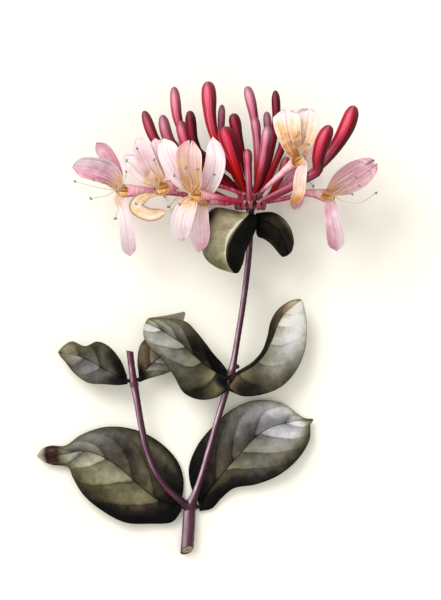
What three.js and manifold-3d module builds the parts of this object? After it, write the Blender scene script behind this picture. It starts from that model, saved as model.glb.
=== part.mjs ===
// A cut sprig of climbing honeysuckle with its flower head, laid on its side.
// Millimetres. The surface it lies on is z = 0, +Y runs from the cut end to the flowers, and the origin is
// under the fork of the stem, where a small flat spot of the wood rests on the surface.
import * as THREE from "three";
import { mergeVertices } from "three/addons/utils/BufferGeometryUtils.js";
import Module from "manifold-3d";

const wasm = await Module();
wasm.setup();

// Driving dimensions
const LOWER_STEM_RADIUS = 2.25;
const UPPER_STEM_RADIUS = 1.1;
const SIDE_SHOOT_RADIUS = 1.2;
const FORK_RADIUS = 2.7;
const FORK_HEIGHT = 2.2; // centre of the fork above the surface, so its underside is cut by it
const LEAF_THICKNESS = 0.7;
const PETAL_THICKNESS = 0.62;
const PETAL_FOOT = 0.9; // half of a petal's width where it leaves the throat
const TUBE_FOOT_RADIUS = 0.62; // a flower's tube where it sits on its ovary
const THROAT_RADIUS = 2.5;
const THROAT_WALL = 0.6;
const FILAMENT_RADIUS = 0.3;
const ANTHER_RADIUS = 0.62;
const OVARY_RADIUS = 0.9;
const OVARY_DROP = 0.95; // from a tube's foot down to its ovary

// The flower head's axis and its three whorls: [height along Y, radius]
const HEAD_X = 21;
const HEAD_Z = 21;
const HEAD_START = 104.3;
const OUTER_WHORL = [106.4, 5.0];
const MIDDLE_WHORL = [109.2, 3.75];
const INNER_WHORL = [111.9, 2.25];

const LEAF_GREEN = 0x5f6350;
const STEM_PURPLE = 0x6d3a4c;
const OVARY_GREEN = 0x7f8a52;
const BUD_RED = 0xb52a3f;
const PETAL_PINK = 0xf0cfcf;
const STAMEN_GREY = 0x9b8f70;

const root = new THREE.Group();

const vector = (point) => new THREE.Vector3(...point);
const smoothCurve = (points) => new THREE.CatmullRomCurve3(points.map(vector), false, "centripetal");

function addPiece(name, geometry, color, roughness) {
  const mesh = new THREE.Mesh(geometry, new THREE.MeshStandardMaterial({ color, roughness, metalness: 0 }));
  mesh.name = name;
  root.add(mesh);
}

// Closed shapes to and from the solids that are joined or cut
function toSolid(geometry) {
  const bare = geometry.clone();
  bare.deleteAttribute("normal");
  bare.deleteAttribute("uv");
  const merged = mergeVertices(bare, 1e-3);
  const vertProperties = new Float32Array(merged.getAttribute("position").array);
  return new wasm.Manifold(new wasm.Mesh({ numProp: 3, vertProperties, triVerts: merged.index.array }));
}

function toGeometry(solid) {
  const mesh = solid.getMesh();
  const geometry = new THREE.BufferGeometry();
  geometry.setAttribute("position", new THREE.BufferAttribute(mesh.vertProperties, 3));
  geometry.setIndex(new THREE.BufferAttribute(mesh.triVerts, 1));
  return geometry;
}

const join = (geometries) => geometries.map(toSolid).reduce((sum, solid) => sum.add(solid));

// A round shape swept along a curve. Its profile is a list of [share of the curve's length, radius], and a
// profile that turns back makes a hollow mouth.
function sweep(curve, profile, sides) {
  const positions = [];
  const index = [];
  const up = new THREE.Vector3(0, 0, 1);
  const addPoint = (p) => positions.push(p.x, p.y, p.z);
  addPoint(curve.getPointAt(profile[0][0]));
  for (const [share, radius] of profile.slice(1, -1)) {
    const centre = curve.getPointAt(share);
    const along = curve.getTangentAt(share);
    const across = new THREE.Vector3().crossVectors(up, along).normalize();
    const over = new THREE.Vector3().crossVectors(along, across);
    for (let i = 0; i < sides; i++) {
      const turn = (2 * Math.PI * i) / sides;
      const p = centre.clone();
      p.addScaledVector(across, radius * Math.cos(turn));
      p.addScaledVector(over, radius * Math.sin(turn));
      addPoint(p);
    }
  }
  addPoint(curve.getPointAt(profile.at(-1)[0]));
  const rings = profile.length - 2;
  const last = rings * sides + 1;
  for (let i = 0; i < sides; i++) {
    const next = (i + 1) % sides;
    index.push(0, 1 + next, 1 + i);
    for (let ring = 0; ring < rings - 1; ring++) {
      const low = 1 + ring * sides;
      const high = low + sides;
      index.push(low + i, low + next, high + next);
      index.push(low + i, high + next, high + i);
    }
    index.push(last - sides + i, last - sides + next, last);
  }
  const geometry = new THREE.BufferGeometry();
  geometry.setAttribute("position", new THREE.Float32BufferAttribute(positions, 3));
  geometry.setIndex(index);
  return geometry;
}

// A thin blade of even thickness over a surface(along 0..1, across -1..1), its two faces triangulated alike
function blade(surface, thickness, rows, columns) {
  const positions = [];
  const index = [];
  const step = 1e-3;
  for (const side of [0.5, -0.5]) {
    for (let row = 0; row <= rows; row++) {
      for (let column = 0; column <= columns; column++) {
        const along = row / rows;
        const across = -1 + (2 * column) / columns;
        const behind = surface(Math.max(along - step, 0), across);
        const ahead = surface(Math.min(along + step, 1), across).sub(behind);
        const left = surface(along, Math.max(across - step, -1));
        const right = surface(along, Math.min(across + step, 1)).sub(left);
        const normal = right.cross(ahead).normalize();
        const p = surface(along, across).addScaledVector(normal, side * thickness);
        positions.push(p.x, p.y, p.z);
      }
    }
  }
  const width = columns + 1;
  const back = (rows + 1) * width;
  for (let row = 0; row < rows; row++) {
    for (let column = 0; column < columns; column++) {
      const a = row * width + column;
      const corners = [a, a + 1, a + width + 1, a + width];
      index.push(corners[0], corners[1], corners[2], corners[0], corners[2], corners[3]);
      const [b, c, d, e] = corners.map((corner) => corner + back);
      index.push(b, d, c, b, e, d);
    }
  }
  const wall = (from, to) => index.push(from, to + back, to, from, from + back, to + back);
  for (let row = 0; row < rows; row++) {
    wall((row + 1) * width, row * width);
    wall(row * width + columns, (row + 1) * width + columns);
  }
  for (let column = 0; column < columns; column++) {
    wall(column, column + 1);
    wall(rows * width + column + 1, rows * width + column);
  }
  const geometry = new THREE.BufferGeometry();
  geometry.setAttribute("position", new THREE.Float32BufferAttribute(positions, 3));
  geometry.setIndex(index);
  return geometry;
}

// The stem: woody lower length, fork, main stem and side shoot, with a swelling at each pair of leaves
const mainStem = smoothCurve([
  [-1.4, -19.2, 3.1],
  [-0.6, -8, 2.7],
  [0, -0.5, 2.5],
  [1.8, 4, 3.5],
  [4.2, 11, 5],
  [7, 21, 6.3],
  [9.9, 31, 7.1],
  [12.4, 39.5, 7.5],
  [14.9, 48.6, 8.1],
  [16.7, 59, 9.6],
  [18.3, 69, 11.8],
  [19.7, 79.5, 14.5],
  [20.7, 90, 17.4],
  [21, 98, 19.7],
  [21, 103.9, 20.9],
]);
const sideShoot = smoothCurve([
  [0, -1, 2.4],
  [-3.6, 2, 4],
  [-7.8, 5.8, 5.2],
  [-12.6, 13, 6.8],
  [-15.2, 20, 8],
  [-17, 28, 9],
  [-18.4, 36, 9.7],
  [-19.9, 44.8, 10.3],
  [-21.2, 55.4, 10.8],
]);

function stemGeometry() {
  const mainProfile = [[0, 0], [0.0005, LOWER_STEM_RADIUS + 0.1], [0.07, LOWER_STEM_RADIUS]];
  mainProfile.push([0.12, LOWER_STEM_RADIUS], [0.16, 1.7], [0.2, 1.3]);
  mainProfile.push([0.26, 1.18], [0.32, 1.12], [0.38, UPPER_STEM_RADIUS], [0.45, 1.12]);
  mainProfile.push([0.5, 1.25], [0.537, 1.55], [0.565, 1.2]);
  mainProfile.push([0.62, 1.06], [0.69, 1.04], [0.76, 1.04], [0.83, 1.06], [0.9, 1.1]);
  mainProfile.push([0.96, 1.25], [0.999, 1.45], [1, 0]);
  const shootProfile = [[0, 0], [0.01, 1.5], [0.07, 1.35], [0.15, SIDE_SHOOT_RADIUS], [0.26, 1.18]];
  shootProfile.push([0.38, 1.15], [0.5, 1.15], [0.62, 1.18], [0.72, 1.25], [0.8, 1.5], [0.86, 1.3]);
  shootProfile.push([0.93, SIDE_SHOOT_RADIUS], [0.998, 1.25], [1, 0]);
  const fork = new THREE.SphereGeometry(FORK_RADIUS, 12, 8).translate(0, -0.3, FORK_HEIGHT);
  // the dried stub of a third shoot, on the right of the middle node
  const knob = sweep(smoothCurve([[14.9, 48.2, 8.2], [16.1, 48.8, 8.9], [17.3, 49.4, 9.1]]),
    [[0, 0], [0.02, 0.7], [0.5, 0.6], [0.85, 0.8], [1, 0]], 6);
  const grown = join([sweep(mainStem, mainProfile, 8), sweep(sideShoot, shootProfile, 8), fork, knob]);
  const surface = new THREE.BoxGeometry(40, 60, 10).translate(0, 0, -5);
  const slantingCut = new THREE.BoxGeometry(20, 10, 20).translate(0, -5, 0).rotateX(-0.6).rotateZ(0.32);
  slantingCut.translate(-1, -15.6, 3);
  const shootCut = new THREE.BoxGeometry(10, 6, 10).translate(0, 3, 0).rotateZ(-0.2);
  shootCut.translate(-21.1, 54.6, 10.8);
  return toGeometry(grown.subtract(join([surface, slantingCut])).subtract(toSolid(shootCut)));
}
addPiece("stem", stemGeometry(), STEM_PURPLE, 0.6);

// A leaf is drawn over rungs from its base to its tip: each rung is its left margin, midrib and right margin.
// Each half arches up between the midrib and the margin, and its margin waves a little.
function leafSurface({ rungs, arch = 0.8, wave = 0.3, waves = 4 }) {
  const [left, rib, right] = [0, 1, 2].map((place) => smoothCurve(rungs.map((rung) => rung[place])));
  return (along, across) => {
    const share = Math.abs(across);
    const margin = (across < 0 ? left : right).getPoint(along);
    const p = rib.getPoint(along).lerp(margin, share);
    const swell = Math.sin(Math.PI * along);
    p.z += 4 * arch * share * (1 - share) * swell;
    p.z += wave * share * share * swell * Math.sin(2 * Math.PI * waves * along + 1.3 * across);
    return p;
  };
}

const leaves = {
  leaf_lower_left: {
    rungs: [
      [[-3.1, -2.0, 1.8], [-3.3, -0.7, 1.7], [-3.1, 0.8, 1.5]],
      [[-6.2, -5.8, 2.3], [-6.6, 0.4, 1.3], [-2.3, 8.1, 1.2]],
      [[-14.2, -6.5, 3.2], [-11.2, 1.8, 1.0], [-4.2, 15.1, 1.6]],
      [[-22.6, -6.0, 4.2], [-17.2, 6.3, 0.8], [-10.5, 22.1, 2.4]],
      [[-30.8, -1.9, 4.8], [-24.2, 12.6, 0.6], [-18.9, 26.6, 3.2]],
      [[-37.4, 3.6, 4.6], [-30.8, 17, 0.5], [-29.4, 27.8, 3.4]],
      [[-41.4, 9.9, 3.6], [-37.8, 19.1, 0.6], [-38.5, 24.9, 3.0]],
      [[-43.0, 13.4, 2.6], [-43.6, 18.0, 1.2], [-44.1, 21.1, 2.4]],
      [[-48.5, 14.3, 3.0], [-49, 17.8, 2.6], [-49.3, 21.0, 1.8]],
      [[-52.3, 15.5, 3.2], [-54, 17.5, 3.5], [-52.7, 19.9, 3.0]],
    ],
    rows: 18,
  },
  leaf_lower_right: {
    rungs: [
      [[3.2, 0.9, 0.9], [3.4, -0.8, 1.1], [3.2, -2.2, 1.1]],
      [[0.5, 5.8, 0.5], [4.8, 2.8, 0.8], [7.7, -1.2, 1.1]],
      [[-0.5, 13, 0.7], [8.4, 7.4, 0.7], [10.8, 2.2, 1.7]],
      [[2.5, 21, 1.5], [13, 13, 0.6], [15.4, 6, 2.7]],
      [[7.4, 27.3, 2.6], [17.5, 17.9, 0.5], [23.1, 7.4, 3.7]],
      [[14, 33.4, 3.4], [22.8, 23.8, 0.5], [31.5, 10.9, 4.3]],
      [[22.8, 37.1, 3.6], [29, 27.7, 0.8], [38.5, 17, 4.3]],
      [[32.4, 36.1, 3.2], [35, 29.2, 1.3], [42.1, 23.3, 3.6]],
      [[38.3, 32, 2.6], [38.9, 29.9, 1.8], [42.4, 27.3, 3.0]],
      [[40.6, 30.8, 2.5], [41, 29.8, 2.3], [42.5, 28.6, 2.8]],
      [[43.4, 30.6, 2.8], [43.6, 30.2, 2.7], [43.4, 29.8, 2.7]],
    ],
    rows: 16,
  },
  leaf_side_left: {
    rungs: [
      [[-21.8, 43.0, 9.9], [-21.9, 44.2, 10.0], [-22.1, 46.0, 10.2]],
      [[-24.5, 42.6, 10.2], [-25.4, 45.6, 9.0], [-24.2, 51.2, 10.4]],
      [[-30.1, 42.9, 10.2], [-30.5, 48.3, 8.0], [-28.4, 56.2, 10.2]],
      [[-35.7, 43.4, 9.2], [-35, 51.1, 7.0], [-32.6, 57.9, 8.8]],
      [[-40.6, 46.6, 7.4], [-39.2, 52.7, 6.0], [-36.8, 56.3, 8.6]],
      [[-44.1, 50.8, 6.0], [-43.1, 53.4, 5.2], [-41.7, 57.9, 6.6]],
      [[-46.1, 53.0, 5.0], [-46.5, 54.1, 5.0], [-45.7, 55.5, 5.2]],
    ],
    rows: 12,
    wave: 0.2,
  },
  leaf_side_right: {
    rungs: [
      [[-18.0, 46.0, 9.4], [-17.9, 44.6, 9.4], [-18.0, 43.5, 9.4]],
      [[-18.5, 51.5, 8.6], [-15.6, 47.8, 7.8], [-14, 45, 8.4]],
      [[-17.2, 57.2, 7.0], [-12.2, 51.2, 6.2], [-7.7, 46.9, 6.8]],
      [[-12.6, 60.5, 5.2], [-7.4, 53.9, 4.4], [-3.5, 49.4, 5.0]],
      [[-6.3, 59.5, 4.0], [-3.5, 56, 3.4], [-0.7, 52.9, 3.8]],
      [[-1.6, 58.9, 3.2], [-0.9, 58.1, 3.2], [-0.4, 57.2, 3.2]],
    ],
    rows: 10,
    wave: 0.2,
  },
  // this leaf's long tip is folded back under it and shows again past its upper margin
  leaf_middle_left: {
    rungs: [
      [[13.2, 40.6, 10.4], [13.1, 44.3, 10.4], [12.8, 46.8, 10.4]],
      [[9.1, 38.2, 10.8], [9.5, 45.7, 9.8], [10.2, 49.2, 10.8]],
      [[3.5, 37.5, 11.2], [5.3, 47.6, 9.4], [7.4, 52.5, 11.4]],
      [[-2.1, 39.9, 11.7], [0.7, 50.4, 9.4], [4.9, 56.4, 12.2]],
      [[-5.6, 45.9, 12.2], [-3.5, 54.6, 9.8], [2.1, 61.3, 12.8]],
      [[-9.5, 51.5, 12.3], [-7.7, 58.1, 10.5], [-1.4, 64.9, 12.8]],
      [[-14, 55.7, 11.9], [-11.6, 62, 11.3], [-7.7, 66, 12.4]],
      [[-16.3, 59.9, 11.2], [-14.7, 64.2, 11.3], [-13, 66.1, 11.6]],
      [[-15.8, 62.4, 8.8], [-15.3, 64.7, 8.9], [-14.2, 66.2, 9.0]],
      [[-9.8, 61.4, 6.9], [-9.3, 64.6, 7.1], [-8.6, 67.0, 7.3]],
      [[-4.5, 61.6, 6.8], [-4.6, 65.2, 7.0], [-4.4, 67.9, 7.2]],
      [[-2.2, 64.9, 7.0], [-1.8, 67.0, 7.1], [-1.3, 68.6, 7.2]],
    ],
    rows: 22,
    wave: 0.15,
  },
  // this leaf stands folded along its midrib and bends up along the stem
  leaf_middle_right: {
    rungs: [
      [[14.4, 46.0, 10.6], [14.0, 44.6, 10.5], [13.9, 40.5, 10.4]],
      [[17.4, 47.9, 8.6], [17.9, 46.9, 11.2], [18.6, 38.7, 10.6]],
      [[21.9, 50.8, 8.0], [22.4, 49.7, 11.2], [25.9, 39.4, 9.8]],
      [[25.2, 54.6, 8.0], [25.9, 53.2, 11.2], [32.6, 42.4, 8.8]],
      [[27.0, 59.4, 9.0], [28.4, 57.9, 11.0], [37.5, 48, 7.9]],
      [[28.2, 64.8, 10.6], [30.3, 63, 9.8], [40.3, 54.6, 7.4]],
      [[30.3, 68.6, 11.4], [32.4, 67.0, 8.8], [41, 60.9, 7.6]],
      [[33.3, 71.2, 10.8], [35, 69.6, 8.4], [40.8, 66.9, 8.0]],
      [[36.1, 72.5, 9.4], [37.5, 71.4, 8.4], [39.9, 70.7, 8.2]],
      [[38.4, 72.9, 8.5], [39.1, 72.6, 8.3], [39.7, 72.1, 8.3]],
    ],
    rows: 18,
    wave: 0.2,
  },
  leaf_head_left: {
    rungs: [
      [[22.6, 102.2, 23.4], [21.1, 102.4, 23.5], [19.5, 102.6, 23.2]],
      [[23.2, 100.9, 23.4], [19.4, 100.9, 25.0], [14.7, 103.8, 22.4]],
      [[23.1, 97.3, 23.2], [16.8, 98.2, 25.8], [8.4, 104.4, 21.4]],
      [[22.6, 93.1, 22.8], [14.7, 95.0, 26.2], [4.7, 99.9, 20.9]],
      [[21.7, 88.9, 22.4], [13.8, 91, 25.8], [4.0, 93.5, 20.4]],
      [[20, 85.1, 21.8], [14, 86.8, 24.8], [6.0, 87.5, 20.4]],
      [[17.9, 82.6, 21.6], [14.9, 84, 23.4], [10.2, 84.2, 21.0]],
      [[16.7, 81.6, 21.6], [15.8, 81.7, 22.0], [14.6, 82.2, 21.8]],
    ],
    rows: 12,
    wave: 0.25,
  },
  leaf_head_right: {
    rungs: [
      [[22.9, 102.6, 19.9], [22.9, 101.4, 19.7], [22.9, 100.0, 19.4]],
      [[25.6, 103.0, 20.2], [25.4, 99.9, 21.0], [23.5, 94.7, 18.6]],
      [[28.9, 103.0, 20.3], [28, 98.9, 22.0], [25.9, 93.6, 18.8]],
      [[32.3, 101.1, 20.3], [30.5, 96.8, 22.0], [28.2, 91.9, 18.6]],
      [[35, 97.7, 19.5], [32.2, 93.8, 21.0], [29.9, 90, 17.9]],
      [[36.3, 92.8, 18.5], [33.5, 90.7, 19.6], [31.3, 88.3, 17.5]],
      [[35.6, 89.1, 17.6], [34.2, 88, 18.0], [32.6, 87.2, 17.2]],
    ],
    rows: 10,
    wave: 0.25,
  },
};
for (const [name, leaf] of Object.entries(leaves)) {
  addPiece(name, blade(leafSurface(leaf), LEAF_THICKNESS, leaf.rows, 6), LEAF_GREEN, 0.65);
}

// Places on the flower head: a whorl and an angle round it, 0 to the right and 90 to the top
function headPlace([height, radius], degrees) {
  const turn = THREE.MathUtils.degToRad(degrees);
  return [HEAD_X + radius * Math.cos(turn), height, HEAD_Z + radius * Math.sin(turn)];
}

// Buds: where each sits, the points its tube passes on the way to its tip, and its club's radius
const buds = {
  bud_01: [MIDDLE_WHORL, 216, [[10, 114.5, 18.5], [-1, 120.5, 19.5], [-11.2, 127, 20.5],
    [-16.1, 138.3, 20]], 1.9],
  bud_02: [MIDDLE_WHORL, 245, [[12, 115, 14.5], [0, 120.5, 14], [-7.4, 128.5, 14.5],
    [-9.8, 137.2, 14.5]], 2.1],
  bud_03: [INNER_WHORL, 210, [[13.5, 118, 20], [4, 123.5, 20.5], [-3.4, 133, 21],
    [-5.6, 146.7, 20.5]], 1.9],
  bud_04: [MIDDLE_WHORL, 188, [[11, 115, 21.8], [3.5, 119.5, 23.6], [-0.9, 126, 24.8],
    [-3.4, 134.6, 25.2]], 2.25],
  bud_05: [MIDDLE_WHORL, 160, [[13.5, 114, 23.6], [6, 119, 26.4], [1.4, 127.5, 28],
    [0, 137.9, 28.3]], 1.95],
  bud_06: [INNER_WHORL, 150, [[15.6, 117, 22.6], [10.5, 124.5, 23.2], [7.4, 134, 23.4],
    [6.3, 148.4, 22.8]], 2.65],
  bud_07: [MIDDLE_WHORL, 275, [[16.6, 117, 15.6], [12.6, 124, 15.6], [11, 132, 16],
    [11.2, 140.7, 16]], 1.35],
  bud_08: [INNER_WHORL, 90, [[19.8, 115.5, 24.9], [18.4, 121.5, 26.9], [16.8, 128, 28.4],
    [15, 136.9, 29]], 2.1],
  bud_09: [MIDDLE_WHORL, 101, [[18.6, 112.5, 27.4], [16.8, 117, 30.6], [14.6, 123, 33],
    [11.8, 132, 34.4]], 2.95],
  bud_10: [INNER_WHORL, 330, [[23.2, 117, 19], [23.3, 125, 18.6], [22.4, 135.5, 18.6],
    [19.9, 147, 18.2]], 1.9],
  bud_11: [OUTER_WHORL, 90, [[20.8, 109.5, 28.4], [20.4, 115, 31.4], [19.9, 124.4, 34.4]], 1.55],
  bud_12: [MIDDLE_WHORL, 70, [[23.4, 112.5, 27], [24.8, 118, 30], [25.8, 124, 31.6],
    [27, 132.3, 32.2]], 1.85],
  bud_13: [MIDDLE_WHORL, 335, [[26, 114.5, 18.8], [28.3, 124, 18.2], [30, 135, 17.8],
    [29.8, 145.6, 17.4]], 1.55],
  bud_14: [MIDDLE_WHORL, 305, [[24.6, 115.5, 15.4], [26.3, 124, 14], [27.2, 131, 13.4],
    [26.8, 138.4, 13]], 1.5],
  bud_15: [OUTER_WHORL, 54, [[32, 110.3, 25.1], [40.4, 114.4, 28.6], [43.9, 117.2, 34], [44.2, 121.6, 38.6],
    [45.6, 126.8, 40.6], [48.2, 132.2, 41]], 2.65],
  bud_16: [OUTER_WHORL, 27, [[33, 110, 22.6], [42.6, 116.6, 26], [50, 125, 31.8], [54, 132, 34.2],
    [56.7, 139.3, 34.6]], 2.8],
  bud_17: [INNER_WHORL, 30, [[23.6, 116, 23.6], [23.8, 122, 24.2], [23.3, 129, 24.6],
    [22.4, 136, 24.6]], 1.7],
  bud_18: [MIDDLE_WHORL, 5, [[27, 113.5, 22.2], [29.6, 119.5, 23], [32, 125.5, 23.6],
    [34, 131.5, 23.8]], 1.6],
  bud_19: [OUTER_WHORL, 203, [[11, 108.5, 17], [4, 112, 15.4], [-3.5, 117.5, 14.4]], 1.7],
  bud_20: [OUTER_WHORL, 258, [[18.4, 110, 12.4], [15.6, 117, 8], [12.6, 127, 3.4]], 1.8],
  bud_21: [OUTER_WHORL, 285, [[23.6, 110, 12.6], [24.4, 117, 9], [25, 127.5, 6]], 1.8],
  bud_22: [OUTER_WHORL, 336, [[28.6, 109.8, 17.4], [31.2, 115, 16], [34, 122.5, 15]], 1.6],
};

function budGeometry([whorl, degrees, via, club]) {
  const curve = smoothCurve([headPlace(whorl, degrees), ...via]);
  const profile = [[0, 0], [0.004, TUBE_FOOT_RADIUS], [0.2, 0.88], [0.42, 1.14]];
  profile.push([0.58, 0.55 * club + 0.35], [0.72, 0.85 * club], [0.86, club]);
  profile.push([0.94, 0.88 * club], [0.985, 0.5 * club], [1, 0]);
  return sweep(curve, profile, 7);
}
for (const [name, bud] of Object.entries(buds)) addPiece(name, budGeometry(bud), BUD_RED, 0.5);

// A petal lies along its rib, half its width on each side where it is widest, and cupped towards the way it
// faces. Its end is round, or notched between its lobes.
const LOBE_PHASE = Math.PI / 2;
function petalSurface(petal) {
  const { rib, half, widest = 0.7, facing = [0, 0, 1], cup = 0.25, lobes = 1, notch = 0.05 } = petal;
  const curve = smoothCurve(rib);
  const face = vector(facing).normalize();
  return (along, across) => {
    const lobed = Math.abs(Math.sin(LOBE_PHASE * lobes * (across + 1))) ** 0.7;
    const reach = along * (1 - notch * (1 - lobed));
    const opening = Math.sin(LOBE_PHASE * Math.min(reach / widest, 1));
    const rounding = Math.sqrt(1 - 0.9 * Math.max(0, (along - widest) / (1 - widest)) ** 2.5);
    const width = (PETAL_FOOT + (half - PETAL_FOOT) * opening ** 1.5) * rounding;
    const side = curve.getTangent(reach).cross(face).normalize();
    const over = side.clone().cross(curve.getTangent(reach));
    const rise = cup * width * across * across;
    return curve.getPoint(reach).addScaledVector(side, across * width).addScaledVector(over, rise);
  };
}

// Open flowers: where each sits, the points its tube passes to its throat, its petals, and its stamens
const flowers = {
  flower_far_left: {
    place: [OUTER_WHORL, 176],
    tube: [[5, 108.2, 20.6], [-10, 110, 21.6], [-23.5, 110.3, 22]],
    petals: [
      { rib: [[-28.2, 116.2, 24.6], [-34.3, 118, 26], [-40.6, 118.6, 25]], half: 4.2, widest: 0.62 },
      { rib: [[-26, 117.6, 21.4], [-28.9, 122.9, 21.6], [-32.6, 127.1, 21]], half: 2.8 },
      { rib: [[-22.6, 101, 23.6], [-21.6, 94, 21.4], [-20.7, 87.6, 17]], half: 2.6, widest: 0.82 },
    ],
    stamens: [
      [[-31, 111.2, 27.6], [-39.6, 113.4, 28.4]],
      [[-29, 108.4, 28], [-34, 107.5, 29]],
      [[-24.5, 104.5, 28.4], [-25.6, 100.6, 28.6]],
      [[-28.4, 113.2, 29], [-33, 114, 31]],
      [[-22.6, 113.6, 27.6], [-21.6, 116.8, 28.6]],
    ],
  },
  flower_left: {
    place: [MIDDLE_WHORL, 131],
    tube: [[11, 111.8, 24.9], [3.4, 112.8, 25.4], [-3.6, 112.4, 27.2], [-9.5, 111, 29]],
    petals: [
      { rib: [[-13.4, 118, 32], [-16, 123.4, 33], [-18, 128.2, 32.2]], half: 3.3 },
      { rib: [[-15.2, 115, 31], [-19, 118.8, 31.6], [-22.2, 122.4, 31]], half: 3.2 },
      { rib: [[-9.6, 118.4, 30.4], [-10.6, 123.4, 31], [-12, 128.2, 30.4]], half: 3.2 },
      { rib: [[-15.6, 108, 31.6], [-18.4, 104.6, 33], [-14, 101.8, 33.4], [-7.6, 102.8, 32]],
        half: 2.4 },
    ],
    stamens: [
      [[-14.5, 117.5, 35.2], [-17.9, 124.4, 37]],
      [[-16.5, 115.5, 35], [-21.4, 120.2, 36.4]],
      [[-12.6, 108.4, 35], [-18.2, 105.4, 37.4]],
      [[-10.4, 115.5, 34.8], [-12, 120.5, 37]],
    ],
  },
  flower_front_left: {
    place: [OUTER_WHORL, 117],
    tube: [[12.4, 107.4, 29.4], [7, 108.2, 31.8], [1.8, 108.7, 33.2]],
    petals: [
      { rib: [[0.2, 116, 37.8], [-0.2, 121.8, 39.2], [0.5, 127.2, 38.2]], half: 4.5, lobes: 2,
        notch: 0.1 },
      { rib: [[-3.2, 115, 34.6], [-6.6, 121.6, 35.8], [-8.8, 128, 34.8]], half: 3.8 },
      { rib: [[-1.6, 102.6, 34.4], [-2.8, 98, 33.4], [-2.6, 92.8, 30]], half: 3.7, widest: 0.6 },
    ],
    stamens: [
      [[-2, 109.6, 38.4], [-5.4, 109.2, 41]],
      [[0, 106, 38], [-3.2, 105.2, 40]],
      [[0.8, 113, 39.4], [-1, 117.6, 42]],
      [[2.8, 112.6, 39], [3, 117, 41.4]],
      [[-1.6, 112, 39.4], [-5, 115, 42]],
    ],
  },
  flower_inner_left: {
    place: [OUTER_WHORL, 145],
    tube: [[12.4, 106, 25.4], [8.4, 106.6, 26.6], [4.8, 107, 27.4]],
    petals: [
      { rib: [[7.8, 115.4, 30.4], [9.0, 120.8, 31.4], [8.0, 128.8, 30.6]], half: 3.6, cup: 0.15,
        widest: 0.55 },
      { rib: [[3.4, 100.4, 27.6], [3.6, 95, 26.2], [3.1, 88.9, 23.4]], half: 3.4, widest: 0.6 },
    ],
    stamens: [
      [[7.2, 111.8, 31.6], [8.6, 115.6, 34]],
      [[2.2, 104.2, 29.8], [0.8, 101.4, 30.4]],
    ],
    stamenRise: 2.2,
  },
  flower_front_right: {
    place: [MIDDLE_WHORL, 38],
    tube: [[27.6, 112.4, 27], [32.6, 116.8, 29.8], [37.4, 120.6, 32]],
    petals: [
      { rib: [[35, 126.8, 34.4], [33.6, 132.6, 35], [33, 138, 34]], half: 4.7, widest: 0.85, lobes: 2,
        notch: 0.08, cup: 0.2 },
      { rib: [[38.8, 126.6, 33], [40.4, 132.4, 33], [41.2, 138.4, 31.4]], half: 4.4, widest: 0.8, lobes: 2,
        cup: 0.2 },
      { rib: [[38.1, 114.6, 33.4], [37.6, 109.6, 31.6], [35.2, 104.8, 28.8]], half: 2.2, widest: 0.6 },
    ],
    stamens: [
      [[37, 124.6, 37.6], [34.8, 126.6, 39]],
      [[38, 125, 38], [36.8, 128.4, 39.6]],
      [[39, 124.8, 38], [39.4, 128, 39.6]],
      [[38.6, 123.4, 38.2], [40.8, 125.6, 40]],
    ],
  },
  flower_far_right: {
    place: [OUTER_WHORL, 0],
    tube: [[32.5, 107.6, 21.4], [40.6, 109.6, 22.8], [48, 108.6, 24]],
    petals: [
      { rib: [[53.2, 113, 27.4], [58.6, 116.2, 28.6], [64.4, 120.2, 27]], half: 5.2, lobes: 3, notch: 0.18 },
      { rib: [[49.2, 101.4, 25.8], [50.4, 95.4, 24], [51.2, 89.4, 19.6]], half: 3.1, widest: 0.78 },
    ],
    stamens: [
      [[53.6, 106.4, 29], [58.8, 106, 30], [64.4, 109.4, 30]],
      [[53.6, 112, 31], [57.4, 114.6, 33]],
      [[54, 110.4, 31], [58.4, 111.8, 33]],
      [[52.6, 108.6, 31], [56, 108.8, 33]],
    ],
  },
  flower_under_left: {
    place: [OUTER_WHORL, 231],
    tube: [[11, 108, 12.4], [5.6, 110.4, 9], [0.8, 112, 6.4]],
    petals: [
      { rib: [[-3.4, 118.4, 3.6], [-4.8, 123.6, 2], [-5.4, 128.6, 0.9]], half: 4.6,
        facing: [-0.2, 0, -1], cup: 0.12, lobes: 4, notch: 0.14 },
      { rib: [[-1.2, 105.4, 3.4], [-2, 100, 1.6], [-2.4, 95, 0.7]], half: 2.8,
        facing: [-0.2, 0, -1], cup: 0.1 },
    ],
    stamens: [
      [[-5.4, 112.6, 3.2], [-10, 113.4, 1.2]],
      [[-5, 110.4, 3], [-9, 109, 1.2]],
      [[-4.6, 108.6, 3], [-7.6, 105.4, 1.2]],
    ],
  },
  flower_under_right: {
    place: [OUTER_WHORL, 310],
    tube: [[28.6, 109.6, 12.8], [32.8, 113.6, 9.6], [36.2, 117.2, 7.2]],
    petals: [
      { rib: [[38.4, 125.6, 4.2], [39.6, 133, 2.2], [40.4, 140.2, 0.9]], half: 4.2,
        facing: [0.2, 0, -1], cup: 0.12, lobes: 4, notch: 0.12 },
      { rib: [[38.4, 111.8, 3.9], [37.8, 108, 2], [36.6, 104.4, 0.8]], half: 2.4,
        facing: [0.2, 0, -1], cup: 0.1 },
    ],
    stamens: [
      [[41.4, 117.2, 3.6], [45.4, 116.4, 1.2]],
      [[41.4, 119, 3.8], [45.2, 121, 1.3]],
      [[41, 115.6, 3.6], [43.4, 112.6, 1.2]],
    ],
  },
};

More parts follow.
